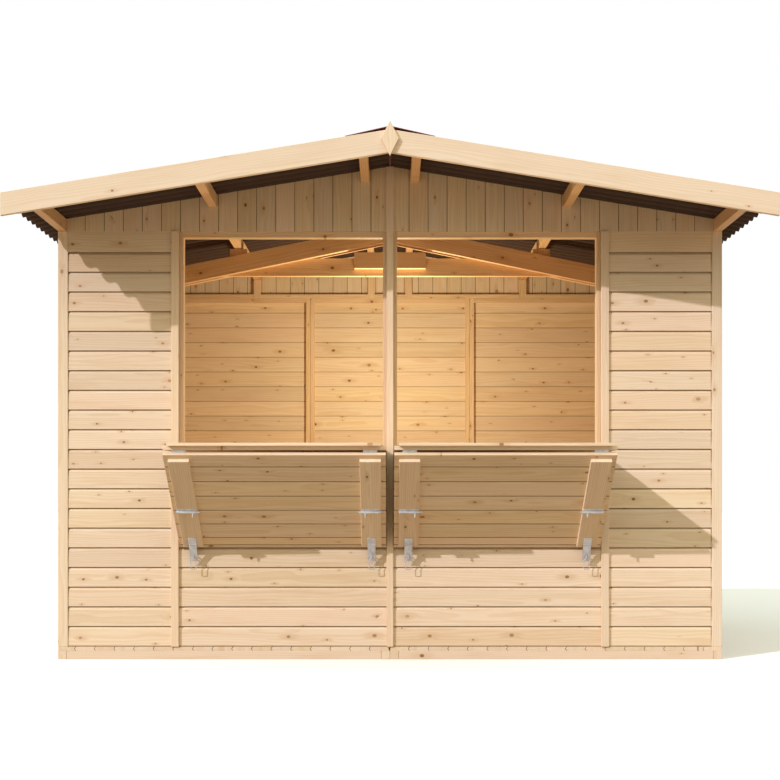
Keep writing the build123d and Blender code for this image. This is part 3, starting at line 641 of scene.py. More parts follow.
# %% Gable boards
GABLE_BOARD = 86.1 * MM
SLOT = 3.0 * MM
SLOT_DEPTH = 6.0 * MM
for place, outward in (("front", -1), ("back", 1)):
    node = f"{place}_gable"
    low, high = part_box(node)
    face, behind = (low.y, high.y) if outward < 0 else (high.y, low.y)
    slab = merged_copy(node)
    tongues = cut_board(slab, 1, *sorted((face - outward * SLOT_DEPTH, behind)))
    pile = bmesh.new()
    count = math.ceil(high.x / GABLE_BOARD)
    for number in range(-count, count):
        start = number * GABLE_BOARD
        for source, left, right, shade in (
            (slab, start + SLOT / 2, start + GABLE_BOARD - SLOT / 2, None),
            (tongues, start - SLOT / 2, start + SLOT / 2, all_shaded),
        ):
            board = cut_board(source, 0, left, right)
            if board is not None:
                add_to_pile(pile, board, ALONG_Z, shade)
    slab.free()
    tongues.free()
    finish_piece(f"{place}_gable_boards", pile, "pine_cladding", [node])

# %% [markdown]
# ## Framing, strips and trims
# Squared timbers come planed, with edges just eased. Those that show are modelled one by one, so
# that each butt joint reads as a fine line and each member has its own grain.

# %% Cover strips and corner trims
STRIP_WIDTH = 35 * MM
CENTRE_STRIP_WIDTH = 31 * MM
TRIM_WIDTH = 45 * MM
pile = bmesh.new()
low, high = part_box("front_strips")
strip_y, strip_z = (low.y, high.y), (low.z, high.z)
add_timber(pile, (-CENTRE_STRIP_WIDTH / 2, CENTRE_STRIP_WIDTH / 2), strip_y, strip_z, ALONG_Z)
for side in SIDES.values():
    add_timber(pile, (side * (high.x - STRIP_WIDTH), side * high.x), strip_y, strip_z, ALONG_Z)
finish_piece("front_cover_strips", pile, "pine_trim", ["front_strips"])

pile = bmesh.new()
low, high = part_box("corner_trims")
for side in SIDES.values():
    for edge, inner in ((low.y, FRONT_STUD), (high.y, BACK_STUD)):
        on_x = (side * (high.x - TRIM_WIDTH), side * high.x)
        add_timber(pile, on_x, (edge, inner), (low.z, high.z), ALONG_Z)
        inward = edge + math.copysign(TRIM_WIDTH, inner - edge)
        on_x = (side * SIDE_STUD, side * high.x)
        add_timber(pile, on_x, (inner, inward), (low.z, high.z), ALONG_Z_SIDE)
finish_piece("corner_trim_strips", pile, "pine_trim", ["corner_trims"])

# %% [markdown]
# The deck boards run from front to back, so their ends show along the front edge. Each board has a
# tongue on its left that fits a groove in its neighbour, and the dark line between the two is an
# arrowhead that points left: a thin filler set a little back in the gap, with painted shade all over.

# %% Deck boards
DECK_BOARD = 88.7 * MM
TONGUE = 6.0 * MM
JOINT = 3.0 * MM
HALF_JOINT = JOINT / 2
JOINT_RECESS = 3.0 * MM


def deck_section(start, end, low, high, tongue, groove):
    """Outline of a deck board's end, as pairs of place across and height."""
    left, right, middle = start + HALF_JOINT, end - HALF_JOINT, (low + high) / 2
    outline = [(left, low)]
    outline += [(left - TONGUE, middle)] if tongue else []
    outline += [(left, high), (right, high)]
    outline += [(right - TONGUE, middle)] if groove else []
    return outline + [(right, low)]


def joint_section(at, low, high):
    """Outline of the arrowhead filler, with painted shade, that fills a joint up to a little below the
    deck's top.
    """
    middle, top = (low + high) / 2, high - JOINT_RECESS
    lean = TONGUE * (high - top) / (high - middle)
    left, right = at - HALF_JOINT, at + HALF_JOINT
    outline = [(left, low), (left - TONGUE, middle), (left - lean, top)]
    return outline + [(right - lean, top), (right - TONGUE, middle), (right, low)]


for side_name, side in SIDES.items():
    low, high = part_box(f"floor_deck_{side_name}")
    pile = bmesh.new()
    for number in range(math.ceil((high.x - low.x) / DECK_BOARD)):
        if side > 0:
            start, end = number * DECK_BOARD, min((number + 1) * DECK_BOARD, high.x)
        else:
            start, end = max(-(number + 1) * DECK_BOARD, low.x), -number * DECK_BOARD
        at_left = start <= low.x + 2 * MM
        at_right = end >= high.x - 2 * MM
        section = deck_section(start, end, low.z, high.z, not at_left, side < 0 or not at_right)
        add_lengthwise(pile, section, (low.y, high.y), ALONG_Y)
        # The filler in each joint gets painted shade all over
        if not at_left:
            recessed = (low.y + JOINT_RECESS, high.y - JOINT_RECESS)
            joint = joint_section(start, low.z, high.z)
            add_lengthwise(pile, joint, recessed, ALONG_Y, painted_joint_shade=all_shaded)
    finish_piece(f"deck_{side_name}_boards", pile, "deck_boards", [f"floor_deck_{side_name}"])

# %% [markdown]
# Under the deck, the bearers run from front to back and a rim closes them between the two edge
# bearers, whose ends show as small squares in the front edge.

# %% Floor frames
BEARER = 38 * MM
BEARERS_PER_FLOOR = 6
BEARER_EASE = 1.2 * MM
END_GAP = 1.2 * MM
for side_name in SIDES:
    low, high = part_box(f"floor_frame_{side_name}")
    on_z = (low.z, high.z)
    pile = bmesh.new()
    step = (high.x - low.x - BEARER) / (BEARERS_PER_FLOOR - 1)
    for number in range(BEARERS_PER_FLOOR):
        start = low.x + number * step
        inset = 0.0 if number in (0, BEARERS_PER_FLOOR - 1) else BEARER
        on_y = (low.y + inset, high.y - inset)
        add_timber(pile, (start, start + BEARER), on_y, on_z, ALONG_Y, BEARER_EASE)
    between = (low.x + BEARER + END_GAP, high.x - BEARER - END_GAP)
    for start in (low.y, high.y - BEARER):
        add_timber(pile, between, (start, start + BEARER), on_z, ALONG_X, BEARER_EASE)
    finish_piece(f"floor_{side_name}_bearers", pile, "floor_bearers", [f"floor_frame_{side_name}"])

# %% [markdown]
# The wall frames stand behind the boards. Studs run the full height and the rails are cut between
# them, so a helper takes the frame's span and lays both.

# %% Wall frames
STUD = 25 * MM
RAIL = 38 * MM
MID_RAIL_TOP = 940 * MM
WINDOW_INNER_X = 32 * MM
WINDOW_OUTER_X = 935 * MM
HEAD_RAIL = 26 * MM
SILL_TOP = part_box("counter_leaf_right")[1].z
FRONT_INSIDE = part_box("front_frame_right")[1].y
WINDOW_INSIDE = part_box("window_frame_right")[1].y
BACK_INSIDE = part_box("back_frames")[0].y
SIDE_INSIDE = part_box("side_frames_right")[0].x
WINDOW_POSTS = ((HALF_GAP, WINDOW_INNER_X), (WINDOW_OUTER_X, PANEL_JOINT_X - 2 * HALF_GAP))
FLOOR_RAIL = (FLOOR_TOP, FLOOR_TOP + STUD)
PANEL_RAILS = (FLOOR_RAIL, (MID_RAIL_TOP - STUD, MID_RAIL_TOP), (WALL_TOP - STUD, WALL_TOP))


def panel_frame(pile, span, through, facing):
    """Two studs at the ends of a span, and the rails between them."""
    start, end = sorted(span)
    studs = ((start, start + STUD), (end - STUD, end))
    members = [(stud, (FLOOR_TOP, WALL_TOP), UPRIGHT_GRAIN) for stud in studs]
    members += [((start + STUD, end - STUD), rail, WALL_GRAIN) for rail in PANEL_RAILS]
    for along, levels, grain in members:
        on_x, on_y = (along, through) if facing == "y" else (through, along)
        add_timber(pile, on_x, on_y, levels, grain[facing])


for side_name, side in SIDES.items():
    pile = bmesh.new()
    panel_frame(pile, (side * PANEL_JOINT_X, side * SIDE_STUD), (FRONT_STUD, FRONT_INSIDE), "y")
    finish_piece(f"front_{side_name}_studs", pile, "pine_framing", [f"front_frame_{side_name}"])

    pile = bmesh.new()
    for span in ((FRONT_INSIDE, MIDDLE_Y - HALF_GAP), (MIDDLE_Y + HALF_GAP, BACK_INSIDE)):
        panel_frame(pile, span, (side * SIDE_INSIDE, side * SIDE_STUD), "x")
    finish_piece(f"side_{side_name}_studs", pile, "pine_framing", [f"side_frames_{side_name}"])

    pile = bmesh.new()
    on_y = (FRONT_STUD, WINDOW_INSIDE)
    for inner, outer in WINDOW_POSTS:
        add_timber(pile, (side * inner, side * outer), on_y, (FLOOR_TOP, WALL_TOP), ALONG_Z)
    for levels in ((WALL_TOP - HEAD_RAIL, WALL_TOP), (SILL_TOP - RAIL, SILL_TOP), FLOOR_RAIL):
        add_timber(pile, (side * WINDOW_INNER_X, side * WINDOW_OUTER_X), on_y, levels, ALONG_X)
    finish_piece(f"window_{side_name}_posts", pile, "pine_framing", [f"window_frame_{side_name}"])

pile = bmesh.new()
for span in ((-SIDE_STUD, -BACK_OUTER), (-BACK_INNER, BACK_INNER), (BACK_OUTER, SIDE_STUD)):
    panel_frame(pile, span, (BACK_INSIDE, BACK_STUD), "y")
finish_piece("back_studs", pile, "pine_framing", ["back_frames"])

# %% [markdown]
# ## Roof timbers
# Six purlins carry the roof from gable to gable. Their tops are planed to the slope of the roof,
# so each is drawn as a four-cornered section and pulled from front to back.

# %% Purlins
ROOF_SLOPE = 0.162
PURLIN = 38 * MM
PURLIN_EASE = 1.2 * MM
PURLINS = {place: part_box(f"{place}_purlins") for place in ("ridge", "middle", "eave")}
ROOF_TOP = PURLINS["ridge"][1].z + ROOF_SLOPE * (PURLINS["ridge"][1].x - PURLIN)


def roof_z(x):
    """Height of the plane that the purlins' tops lie in."""
    return ROOF_TOP - ROOF_SLOPE * abs(x)


for place, (low, high) in PURLINS.items():
    pile = bmesh.new()
    outer, inner = high.x, high.x - PURLIN
    section = [(inner, low.z), (outer, low.z), (outer, roof_z(outer)), (inner, roof_z(inner))]
    for side in SIDES.values():
        outline = [(side * x, z) for x, z in section]
        add_lengthwise(pile, outline, (low.y, high.y), ALONG_Y_UPRIGHT, PURLIN_EASE)
    nodes = [f"{place}_purlins"]
    finish_piece(f"{place}_purlin_pair", pile, "pine_roof_timber_painted_shade", nodes)

# %% [markdown]
# Studs stand under the ridge and middle purlins in each gable, and short rails fill the lengths
# between them along the top of the wall.

# %% Gable studs
GABLE_STUD = 43 * MM
GABLE_STUD_DEPTH = 28 * MM
STUD_CLEARANCE = 0.3 * MM
middles = [PURLINS[place][1].x - PURLIN / 2 for place in ("ridge", "middle")]
for gable, on_y in (
    ("front", (FRONT_STUD, FRONT_STUD + GABLE_STUD_DEPTH)),
    ("back", (BACK_STUD - GABLE_STUD_DEPTH, BACK_STUD)),
):
    pile = bmesh.new()
    low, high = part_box(f"{gable}_gable_frame")
    stops = [low.x, high.x]
    for place, middle in zip(("ridge", "middle"), middles):
        on_z = (WALL_TOP, PURLINS[place][0].z - STUD_CLEARANCE)
        for side in SIDES.values():
            on_x = (side * (middle - GABLE_STUD / 2), side * (middle + GABLE_STUD / 2))
            stops += on_x
            add_timber(pile, on_x, on_y, on_z, ALONG_Z)
    stops.sort()
    for on_x in zip(stops[::2], stops[1::2]):
        add_timber(pile, on_x, on_y, (WALL_TOP, WALL_TOP + STUD), ALONG_X)
    finish_piece(f"{gable}_gable_studs", pile, "pine_framing", [f"{gable}_gable_frame"])

# %% [markdown]
# The truss at mid depth is a sandwich: a pair of rafters in front, a pair behind, and between them
# a tie with packing blocks up to the purlins. A short plate covers the joint of the front pair.

# %% Truss
TRUSS_SLOPE = 0.2045
SLOPED_EASE = 1.5 * MM
PACKER_REACH = 60 * MM


def sloped_grain(slope, side):
    """Grain axes of a member that falls away from the middle at a slope."""
    angle = math.atan(slope)
    run = Vector((side * math.cos(angle), 0, -math.sin(angle)))
    rise = Vector((side * math.sin(angle), 0, math.cos(angle)))
    return Matrix((run, rise, (0, 1, 0)))


def add_sloped_pair(pile, section, on_y, slope):
    """Adds a board on each side of the middle, mirrored, with grain that follows its slope."""
    for side in SIDES.values():
        outline = [(side * x, z) for x, z in section]
        add_lengthwise(pile, outline, on_y, sloped_grain(slope, side), SLOPED_EASE)


for place in ("front", "back"):
    low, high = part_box(f"truss_rafters_{place}")
    height = high.z - low.z - TRUSS_SLOPE * (high.x - HALF_GAP)
    section = [(HALF_GAP, high.z - height), (high.x, low.z)]
    section += [(high.x, low.z + height), (HALF_GAP, high.z)]
    pile = bmesh.new()
    add_sloped_pair(pile, section, (low.y, high.y), TRUSS_SLOPE)
    nodes = [f"truss_rafters_{place}"]
    finish_piece(f"truss_{place}_rafter_pair", pile, "pine_roof_timber_painted_shade", nodes)

for node, name in (("truss_tie", "truss_tie_beam"), ("truss_plate", "truss_joint_plate")):
    pile = bmesh.new()
    add_to_pile(pile, squared(*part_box(node)), ALONG_X)
    finish_piece(name, pile, "pine_roof_timber_painted_shade", [node])

pile = bmesh.new()
source = merged_copy("truss_packers")
for side in SIDES.values():
    for middle in middles:
        at = side * middle
        add_to_pile(pile, cut_board(source, 0, at - PACKER_REACH, at + PACKER_REACH), ALONG_Z)
source.free()
finish_piece("truss_packing_blocks", pile, "pine_roof_timber_painted_shade", ["truss_packers"])

# %% [markdown]
# ## Barge boards and finials
# The barge boards finish the ends of the roof. They meet at the middle in a plumb cut, and a
# diamond of the same pine covers the joint. Plain strips cover the joints of the walls behind.

# %% Barge boards, finials and gable strips
BARGE_DEPTH = 95 * MM / math.cos(math.atan(ROOF_SLOPE))
BARGE_DROP = 65 * MM
FINIAL_THICKNESS = 15 * MM
FINIAL_EASE = 1.0 * MM
for place in ("front", "back"):
    low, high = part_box(f"barge_boards_{place}")
    section = [(x, roof_z(x) - BARGE_DROP) for x in (HALF_GAP, high.x)]
    section += [(x, roof_z(x) - BARGE_DROP + BARGE_DEPTH) for x in (high.x, HALF_GAP)]
    pile = bmesh.new()
    add_sloped_pair(pile, section, (low.y, high.y), ROOF_SLOPE)
    finish_piece(f"barge_{place}_pair", pile, "pine_trim", [f"barge_boards_{place}"])

low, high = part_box("finials")
middle = (low.z + high.z) / 2
diamond = [(0, high.z), (high.x, middle), (0, low.z), (low.x, middle)]
pile = bmesh.new()
for on_y in ((low.y, low.y + FINIAL_THICKNESS), (high.y - FINIAL_THICKNESS, high.y)):
    add_lengthwise(pile, diamond, on_y, ALONG_Z, FINIAL_EASE)
finish_piece("finial_diamonds", pile, "pine_trim", ["finials"])

low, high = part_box("gable_strips")
pile = bmesh.new()
for on_y in ((low.y, FRONT_PLANE), (BACK_PLANE, high.y)):
    add_timber(pile, (low.x, high.x), on_y, (low.z, high.z), ALONG_Z)
finish_piece("gable_cover_strips", pile, "pine_trim", ["gable_strips"])

low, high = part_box("rear_and_side_strips")
HALF_STRIP = STRIP_WIDTH / 2
pile = bmesh.new()
for side in SIDES.values():
    on_x = (side * (BACK_JOINT_X - HALF_STRIP), side * (BACK_JOINT_X + HALF_STRIP))
    add_timber(pile, on_x, (BACK_PLANE, high.y), (low.z, high.z), ALONG_Z)
    on_y = (MIDDLE_Y - HALF_STRIP, MIDDLE_Y + HALF_STRIP)
    add_timber(pile, (side * SIDE_PLANE, side * high.x), on_y, (low.z, high.z), ALONG_Z_SIDE)
finish_piece("rear_and_side_cover_strips", pile, "pine_trim", ["rear_and_side_strips"])

# %% [markdown]
# ## Counters and braces
# Each hatch is two leaves of tongued boards. The upper lies level as a counter, with a smooth top
# board on it, and the lower leans back under it as a brace, stiffened by two battens. Boards on the
# brace are made flat in its own frame - across, down the leaf, and out from its back - and
# then one matrix lays them in place.

# %% The brace's own frame
BRACE_LENGTH = 604 * MM
BRACE_THICKNESS = 17 * MM
TILT = math.radians(41.6)
COS_TILT, SIN_TILT = math.cos(TILT), math.sin(TILT)
leaf_low, leaf_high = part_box("brace_leaf_right")
BRACE_TOP = Vector((0, leaf_low.y + BRACE_THICKNESS * SIN_TILT, leaf_high.z))
BRACE_AXES = Matrix(((1, 0, 0), (0, COS_TILT, -SIN_TILT), (0, -SIN_TILT, -COS_TILT)))
ON_BRACE = Matrix.Translation(BRACE_TOP) @ BRACE_AXES.to_4x4()
FIRST_LEAF_JOINT = 72.4 * MM
LAST_LEAF_JOINT = 585.5 * MM
LEAF_BOARD = 92.2 * MM
LEAF_JOINTS = [0.0] + [FIRST_LEAF_JOINT + LEAF_BOARD * number for number in range(6)]
LEAF_JOINTS += [LAST_LEAF_JOINT, BRACE_LENGTH]
LEAF_INNER_X = 18 * MM
LEAF_OUTER_X = 947 * MM
print("brace hangs from", [round(v, 4) for v in BRACE_TOP])

# %% [markdown]
# A tongued board is drawn with half a slot at each joint, cut down to the shelf that its tongue
# makes. The inside of the slot gets painted shade, as in the laps of the walls.

# %% Tongued boards
EASE = 0.8 * MM
NEAR = 0.1 * MM


def tongued_section(start, end, back, face, first, last):
    """Outline of a board with half a slot at each joint: pairs of place across and through."""
    inward = math.copysign(1.0, back - face)
    shelf, shoulder = face + inward * SLOT_DEPTH, face + inward * EASE
    left = start if first else start + SLOT / 2
    right = end if last else end - SLOT / 2
    outline = [(start, back)] + ([] if first else [(start, shelf), (left, shelf)])
    outline += [(left, shoulder), (left + EASE, face), (right - EASE, face), (right, shoulder)]
    return outline + ([] if last else [(right, shelf), (end, shelf)]) + [(end, back)]


def slot_shade(start, end, back, face, first, last):
    """Painted shade for a tongued board, by a place's share across and through: dark inside each slot.
    """
    def shade(across, through):
        near_start = across < start + SLOT / 2 + NEAR and not first
        near_end = across > end - SLOT / 2 - NEAR and not last
        inside = abs(through - back) > NEAR and abs(through - face) > NEAR
        return 1.0 if inside and (near_start or near_end) else 0.0
    return shade


def add_leaf(pile, joints, back, face, on_x, grain, onto=Matrix.Identity(4)):
    """Adds tongued boards between joints, laid in place by the matrix onto."""
    to_flat = onto.inverted()
    travel = (on_x[1] - on_x[0], 0, 0)
    for start, end in zip(joints, joints[1:]):
        drawn = (start, end, back, face, start == joints[0], end == joints[-1])
        shade = slot_shade(*drawn)
        board = extruded([(on_x[0], y, z) for y, z in tongued_section(*drawn)], travel)
        bmesh.ops.transform(board, matrix=onto, verts=board.verts)
        add_to_pile(pile, board, grain, lambda place: shade(*(to_flat @ place).yz))


# %% [markdown]
# Three kinds of panel are made this way: the sloping braces, the leaves under the counter, and the
# counter itself, whose good face is turned up.

# %% Leaves
COUNTER_PARTS = (("counter_leaf", 5, "leaf", False), ("counter_top", 4, "boards", True))
for side_name, side in SIDES.items():
    pile = bmesh.new()
    on_x = sorted((side * LEAF_INNER_X, side * LEAF_OUTER_X))
    add_leaf(pile, LEAF_JOINTS, 0.0, BRACE_THICKNESS, on_x, BRACE_AXES, ON_BRACE)
    finish_piece(f"brace_{side_name}_boards", pile, "pine_hatch", [f"brace_leaf_{side_name}"])

    for node, boards, name, face_up in COUNTER_PARTS:
        low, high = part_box(f"{node}_{side_name}")
        back, face = (low.z, high.z) if face_up else (high.z, low.z)
        step = (high.y - low.y) / boards
        joints = [low.y + number * step for number in range(boards + 1)]
        pile = bmesh.new()
        add_leaf(pile, joints, back, face, (low.x, high.x), ALONG_X_FLAT)
        finish_piece(f"counter_{side_name}_{name}", pile, "pine_hatch", [f"{node}_{side_name}"])

# %% [markdown]
# Two battens stiffen each brace. They are made flat and laid on it by the same matrix.

# %% Battens
TOP_MARGIN = 20 * MM
BATTEN_WIDTH = 89 * MM
BATTEN_THICKNESS = 18 * MM
BATTEN_START = 22 * MM
BATTEN_FACE = BRACE_THICKNESS + BATTEN_THICKNESS
HALF_BATTEN = BATTEN_WIDTH / 2
BATTEN_SPANS = (
    (LEAF_INNER_X + TOP_MARGIN, LEAF_INNER_X + TOP_MARGIN + BATTEN_WIDTH),
    (LEAF_OUTER_X - TOP_MARGIN - BATTEN_WIDTH, LEAF_OUTER_X - TOP_MARGIN),
)
BATTEN_MIDDLES = [side * sum(span) / 2 for side in SIDES.values() for span in BATTEN_SPANS]
BATTEN_AXES = Matrix((BRACE_AXES[1], BRACE_AXES[0], BRACE_AXES[2]))
pile = bmesh.new()
for middle in BATTEN_MIDDLES:
    low = (middle - HALF_BATTEN, BATTEN_START, BRACE_THICKNESS)
    high = (middle + HALF_BATTEN, BRACE_LENGTH - BATTEN_START, BATTEN_FACE)
    board = squared(low, high)
    bmesh.ops.transform(board, matrix=ON_BRACE, verts=board.verts)
    add_to_pile(pile, board, BATTEN_AXES)
finish_piece("brace_batten_set", pile, "pine_hatch", ["brace_battens"])

# %% [markdown]
# ## Corrugated roof
# The sheets are pressed bitumen fibre: matt, dark, and a little mottled where the fibres show. Colour
# alone would look like paint, so a fine noise also raises the surface.

# %% Fibre sheet finish
def make_fibre_group():
    """Mottled grey, height and roughness of pressed fibre."""
    g, given, result = start_group(
        "pressed fibre",
        {"Place": ("Vector", None), "Mottle": ("Float", 0.18)},
        {"Grey": "Color", "Height": "Float", "Rough": "Float"},
    )
    fibres = g.noise(given["Place"], 260.0, 3.0)
    patches = g.noise(given["Place"], 9.0, 4.0)
    level = g.calc("MULTIPLY_ADD", g.minus(g.plus(fibres, patches), 1.0), given["Mottle"], 1.0)
    g.feed(result["Grey"], g.grey(level))
    g.feed(result["Height"], fibres)
    g.feed(result["Rough"], g.calc("MULTIPLY_ADD", patches, 0.14, 0.78))
    return g.tree


FIBRE = make_fibre_group()
SHEET_COLOURS = {"bitumen_sheet": (0.082, 0.050, 0.038), "bitumen_ridge": (0.16, 0.035, 0.03)}
for name, base in SHEET_COLOURS.items():
    FINISHES[name], graph, shader = new_material(name)
    place = graph.node("TexCoord").outputs["Object"]
    fibre = graph.node("Group", {"Place": place}, node_tree=FIBRE).outputs
    colour = graph.tint((*base, 1.0), fibre["Grey"])
    dress(graph, shader, colour, fibre, bump=0.6 * MM, strength=0.5, specular=0.15)
print("sheet finishes ready")

# %% [markdown]
# The waves come straight from the CAD sheets. They need no new shape, only shading that rolls over
# the waves and breaks at the cut edges, so a merged copy is smoothed by angle.

# %% Sheets and ridge cap
SHARP = math.radians(38.0)
RIDGE_EASE = 0.8 * MM


def smoothed_piece(name, pile, material, nodes=()):
    """Finishes a piece with faces that blend into each other except at sharp edges."""
    piece = finish_piece(name, pile, material, nodes)
    piece.data.shade_smooth()
    piece.data.set_sharp_from_angle(angle=SHARP)


def eased_copy(node, ease):
    """A merged copy of a CAD node, with its sharp edges eased by any ease over 0."""
    copy = merged_copy(node)
    if ease:
        closed = [edge for edge in copy.edges if len(edge.link_faces) == 2]
        ease_edges(copy, [edge for edge in closed if edge.calc_face_angle() > SHARP], ease, 2)
    return copy


for side_name in SIDES:
    node = f"roof_sheet_{side_name}"
    smoothed_piece(f"sheet_{side_name}_waves", merged_copy(node), "bitumen_sheet", [node])
cap = eased_copy("ridge_cap", RIDGE_EASE)
smoothed_piece("ridge_cap_strip", cap, "bitumen_ridge", ["ridge_cap"])

# %% [markdown]
# Nails go through every other wave into the purlins, under domed caps that keep the rain out. One
# flattened sphere is made for each and tilted to the roof.

# %% Capped nails
WAVES = 34
CAP_RADIUS = 11 * MM
CAP_FLATNESS = 0.45
CREST_SHARE = 0.75
sheet_low, sheet_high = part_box("roof_sheet_right")
WAVE = (sheet_high.y - sheet_low.y) / WAVES
CREST = sheet_high.z - roof_z(sheet_low.x)
pile = bmesh.new()
for side in SIDES.values():
    tilt = Matrix.Rotation(side * math.atan(ROOF_SLOPE), 4, "Y")
    for place in ("middle", "eave"):
        x = side * (PURLINS[place][1].x - PURLIN / 2)
        for number in range(0, WAVES, 2):
            cap = bmesh.new()
            bmesh.ops.create_uvsphere(cap, u_segments=14, v_segments=8, radius=CAP_RADIUS)
            bmesh.ops.scale(cap, vec=(1.0, 1.0, CAP_FLATNESS), verts=cap.verts)
            y = sheet_low.y + (number + CREST_SHARE) * WAVE
            on_crest = Matrix.Translation((x, y, roof_z(x) + CREST)) @ tilt
            bmesh.ops.transform(cap, matrix=on_crest, verts=cap.verts)
            add_to_pile(pile, cap, ALONG_X_FLAT)
smoothed_piece("roof_nail_caps", pile, "bitumen_sheet")

# %% [markdown]
# ## Hardware
# Hinges, bolts, hasps and hooks are zinc plated steel, grey-white with a soft sheen. Plating is never
# even, so a slow noise shifts its colour and its gloss. The edges of stamped plates are rolled a
# little, and that is modelled, because a bright edge is what the eye reads as metal.

# %% Zinc
BRIGHT = (0.54, 0.52, 0.51, 1.0)
DULL = (0.45, 0.43, 0.42, 1.0)
FINISHES["zinc_hardware"], graph, shader = new_material("zinc_hardware")
cloud = graph.noise(graph.node("TexCoord").outputs["Object"], 55.0, 3.0)
graph.feed(shader.inputs["Base Color"], graph.mix(graph.ramp(cloud, 0.35, 0.65), BRIGHT, DULL))
graph.feed(shader.inputs["Roughness"], graph.plus(0.34, graph.times(cloud, 0.16)))
shader.inputs["Metallic"].default_value = 0.5
for name, node, ease in (
    ("hinge_leaves", "fold_hinges", 0.5 * MM),
    ("bolt_bodies", "barrel_bolts", 0.4 * MM),
    ("hasp_straps", "hasps", 0.6 * MM),
    ("staple_bows", "staples", 0.3 * MM),
    ("hook_loops", "snap_hooks", 0.0),
):
    smoothed_piece(name, eased_copy(node, ease), "zinc_hardware", [node])

# %% [markdown]
# Plates are held by countersunk screws. Each head is a low cone with a recess inset in its top, and
# one helper makes it and sets it down where a fitter would drive it.

# %% Screws
HASP_SCREW = 3.2 * MM
BOLT_SCREW = 2.4 * MM
SCREW_RISE = 0.7 * MM
SCREW_TAPER = 0.72
RECESS_SHARE = 0.34
RECESS_DEPTH = 0.45
HASP_FACE = BATTEN_FACE + 3 * MM
BOLT_FACE = BATTEN_FACE + 2 * MM
HASP_TOP = BRACE_LENGTH - 89 * MM
BOLT_ALONG = 0.554 * BRACE_LENGTH
HASP_SCREWS = [(x * MM, HASP_TOP + y * MM, HASP_FACE) for x in (-10, 10) for y in (9, 30)]
BOLT_SCREWS = [(x * MM, BOLT_ALONG + y * MM, BOLT_FACE) for x in (-33, 33) for y in (-9.3, 9.3)]


def lay_on_brace(part, place, turn):
    """Sets a small part at a place in the brace's own frame."""
    at = Matrix.Translation(ON_BRACE @ Vector(place))
    bmesh.ops.transform(part, matrix=at @ turn, verts=part.verts)
    return part


def screw_head(radius):
    """A low cone with a recess pressed into its top."""
    head = bmesh.new()
    bmesh.ops.create_cone(
        head, cap_ends=True, cap_tris=False, segments=20,
        radius1=radius, radius2=SCREW_TAPER * radius, depth=SCREW_RISE,
    )
    bmesh.ops.translate(head, vec=(0, 0, SCREW_RISE / 2), verts=head.verts)
    top = [face for face in head.faces if face.calc_center_median().z > 0.9 * SCREW_RISE]
    inset, sunk = RECESS_SHARE * radius, -RECESS_DEPTH * SCREW_RISE
    bmesh.ops.inset_individual(head, faces=top, thickness=inset, depth=sunk)
    return head


face_out = (BRACE_AXES @ Vector((0, 0, 1))).to_track_quat("Z", "Y").to_matrix().to_4x4()
pile = bmesh.new()
for middle in BATTEN_MIDDLES:
    for radius, places in ((HASP_SCREW, HASP_SCREWS), (BOLT_SCREW, BOLT_SCREWS)):
        for x, y, z in places:
            screw = lay_on_brace(screw_head(radius), (middle + x, y, z), face_out)
            add_to_pile(pile, screw, ALONG_X_FLAT)
finish_piece("hardware_screws", pile, "zinc_hardware")

# %% [markdown]
# The two arms of a hasp turn on a rolled knuckle with a pin through it. From the front it is the one
# bright line on the strap, so it is a short closed cylinder rather than a sharp bend.

# %% Hasp knuckles
KNUCKLE_RADIUS = 3.6 * MM
HASP_WIDTH = 36 * MM
HASP_BEND = BRACE_LENGTH - 46 * MM
across = Matrix.Rotation(math.radians(90.0), 4, "Y")
pile = bmesh.new()
for middle in BATTEN_MIDDLES:
    knuckle = bmesh.new()
    bmesh.ops.create_cone(
        knuckle, cap_ends=True, cap_tris=False, segments=24,
        radius1=KNUCKLE_RADIUS, radius2=KNUCKLE_RADIUS, depth=HASP_WIDTH,
    )
    lay_on_brace(knuckle, (middle, HASP_BEND, HASP_FACE), across)
    add_to_pile(pile, knuckle, ALONG_X_FLAT)
smoothed_piece("hasp_knuckles", pile, "zinc_hardware")

# %% [markdown]
# ## Floor and light
# A pale floor lies in soft light from the front left, as in a studio. The camera sees both floor and
# background as white. So do rays that metal or glass sends on, or the zinc would mirror a dark room.
# All other rays meet a plain tan floor and a dome that is brightest in front.

# %% Floor
WHITE = (1.0, 1.0, 1.0, 1.0)
FLOOR_BOUNCE = (0.36, 0.28, 0.20, 1.0)
FLOOR_REACH = 60.0


def seen_directly(graph):
    """1 on rays from the camera and on rays that metal or glass sends on, 0 on all others."""
    rays = graph.node("LightPath").outputs
    sent_on = graph.calc("MAXIMUM", rays["Is Glossy Ray"], rays["Is Transmission Ray"])
    return graph.calc("MAXIMUM", rays["Is Camera Ray"], sent_on)


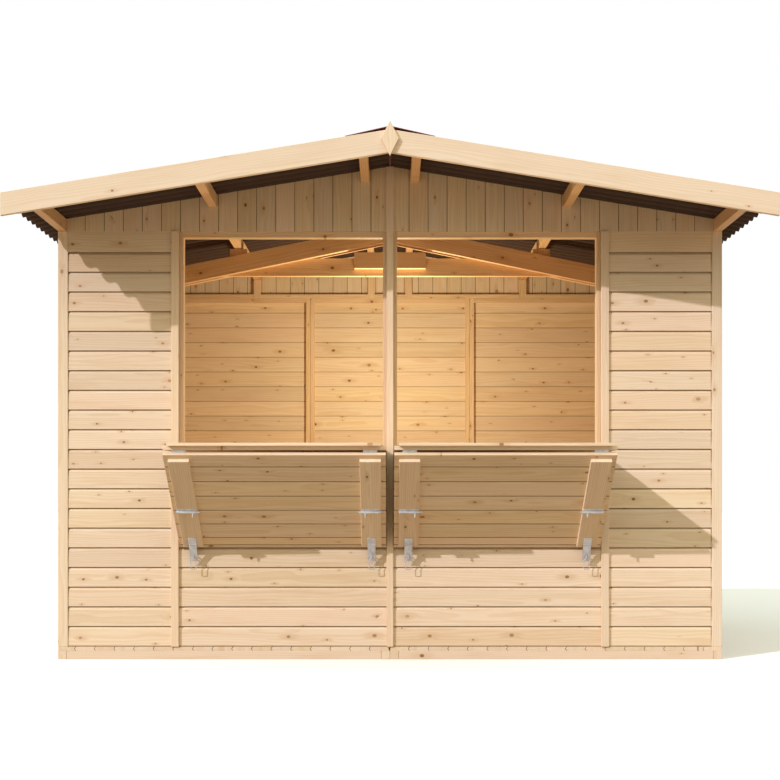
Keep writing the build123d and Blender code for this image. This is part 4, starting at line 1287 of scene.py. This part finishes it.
floor_mesh = bpy.data.meshes.new("studio_floor")
ground = bmesh.new()
bmesh.ops.create_grid(ground, x_segments=1, y_segments=1, size=FLOOR_REACH)
ground.to_mesh(floor_mesh)
ground.free()
floor = bpy.data.objects.new("studio_floor", floor_mesh)
bpy.context.scene.collection.objects.link(floor)
floor_material, graph, shader = new_material("studio_floor")
graph.feed(shader.inputs["Base Color"], graph.mix(seen_directly(graph), FLOOR_BOUNCE, WHITE))
shader.inputs["Roughness"].default_value = 1.0
shader.inputs["Specular IOR Level"].default_value = 0.0
floor_mesh.materials.append(floor_material)

# %% [markdown]
# The world is that dome. Its strength falls off behind the stall and towards the horizon.

# %% World
DOME_COLOUR = (0.98, 1.0, 0.86, 1.0)
world = bpy.data.worlds.new("studio")
bpy.context.scene.world = world
world.use_nodes = True
world.node_tree.nodes.clear()
graph = Graph(world.node_tree)
heading = graph.split(graph.node("TexCoord").outputs["Generated"])
to_front = graph.ramp(heading[1], 0.9, -0.9, 0.45, 1.15)
overhead = graph.ramp(heading[2], 0.0, 0.75, 0.30, 1.35)
backdrop = graph.node("Background", {"Color": WHITE, "Strength": 1.0}).outputs[0]
strength = graph.times(to_front, overhead)
dome = graph.node("Background", {"Color": DOME_COLOUR, "Strength": strength}).outputs[0]
pick = graph.node("MixShader", {0: seen_directly(graph), 1: dome, 2: backdrop}).outputs[0]
graph.node("OutputWorld", {"Surface": pick})

# %% [markdown]
# A sun from the front left throws the shadows, and one warm lamp inside keeps the room from going
# dark behind the hatches.

# %% Lamps
SUN_HEADING = Vector((1.15, 1.0, -0.88))
ROOM_LAMP_PLACE = (0.0, 0.14, 1.42)


def add_lamp(name, kind, energy, colour, **settings):
    """Adds a lamp at the middle of the scene."""
    data = bpy.data.lights.new(name, kind)
    data.energy = energy
    data.color = colour
    for title, value in settings.items():
        setattr(data, title, value)
    lamp = bpy.data.objects.new(name, data)
    bpy.context.scene.collection.objects.link(lamp)
    return lamp


sun = add_lamp("sun", "SUN", 2.5, (0.86, 0.85, 0.98), angle=math.radians(0.8))
sun.rotation_mode = "QUATERNION"
sun.rotation_quaternion = SUN_HEADING.to_track_quat("-Z", "Y")
room_lamp = add_lamp("room_lamp", "POINT", 31.0, (0.97, 0.88, 0.62), shadow_soft_size=0.03)
room_lamp.location = ROOM_LAMP_PLACE
room_lamp.visible_camera = False
bpy.context.scene.view_settings.view_transform = "Standard"
print("lit")
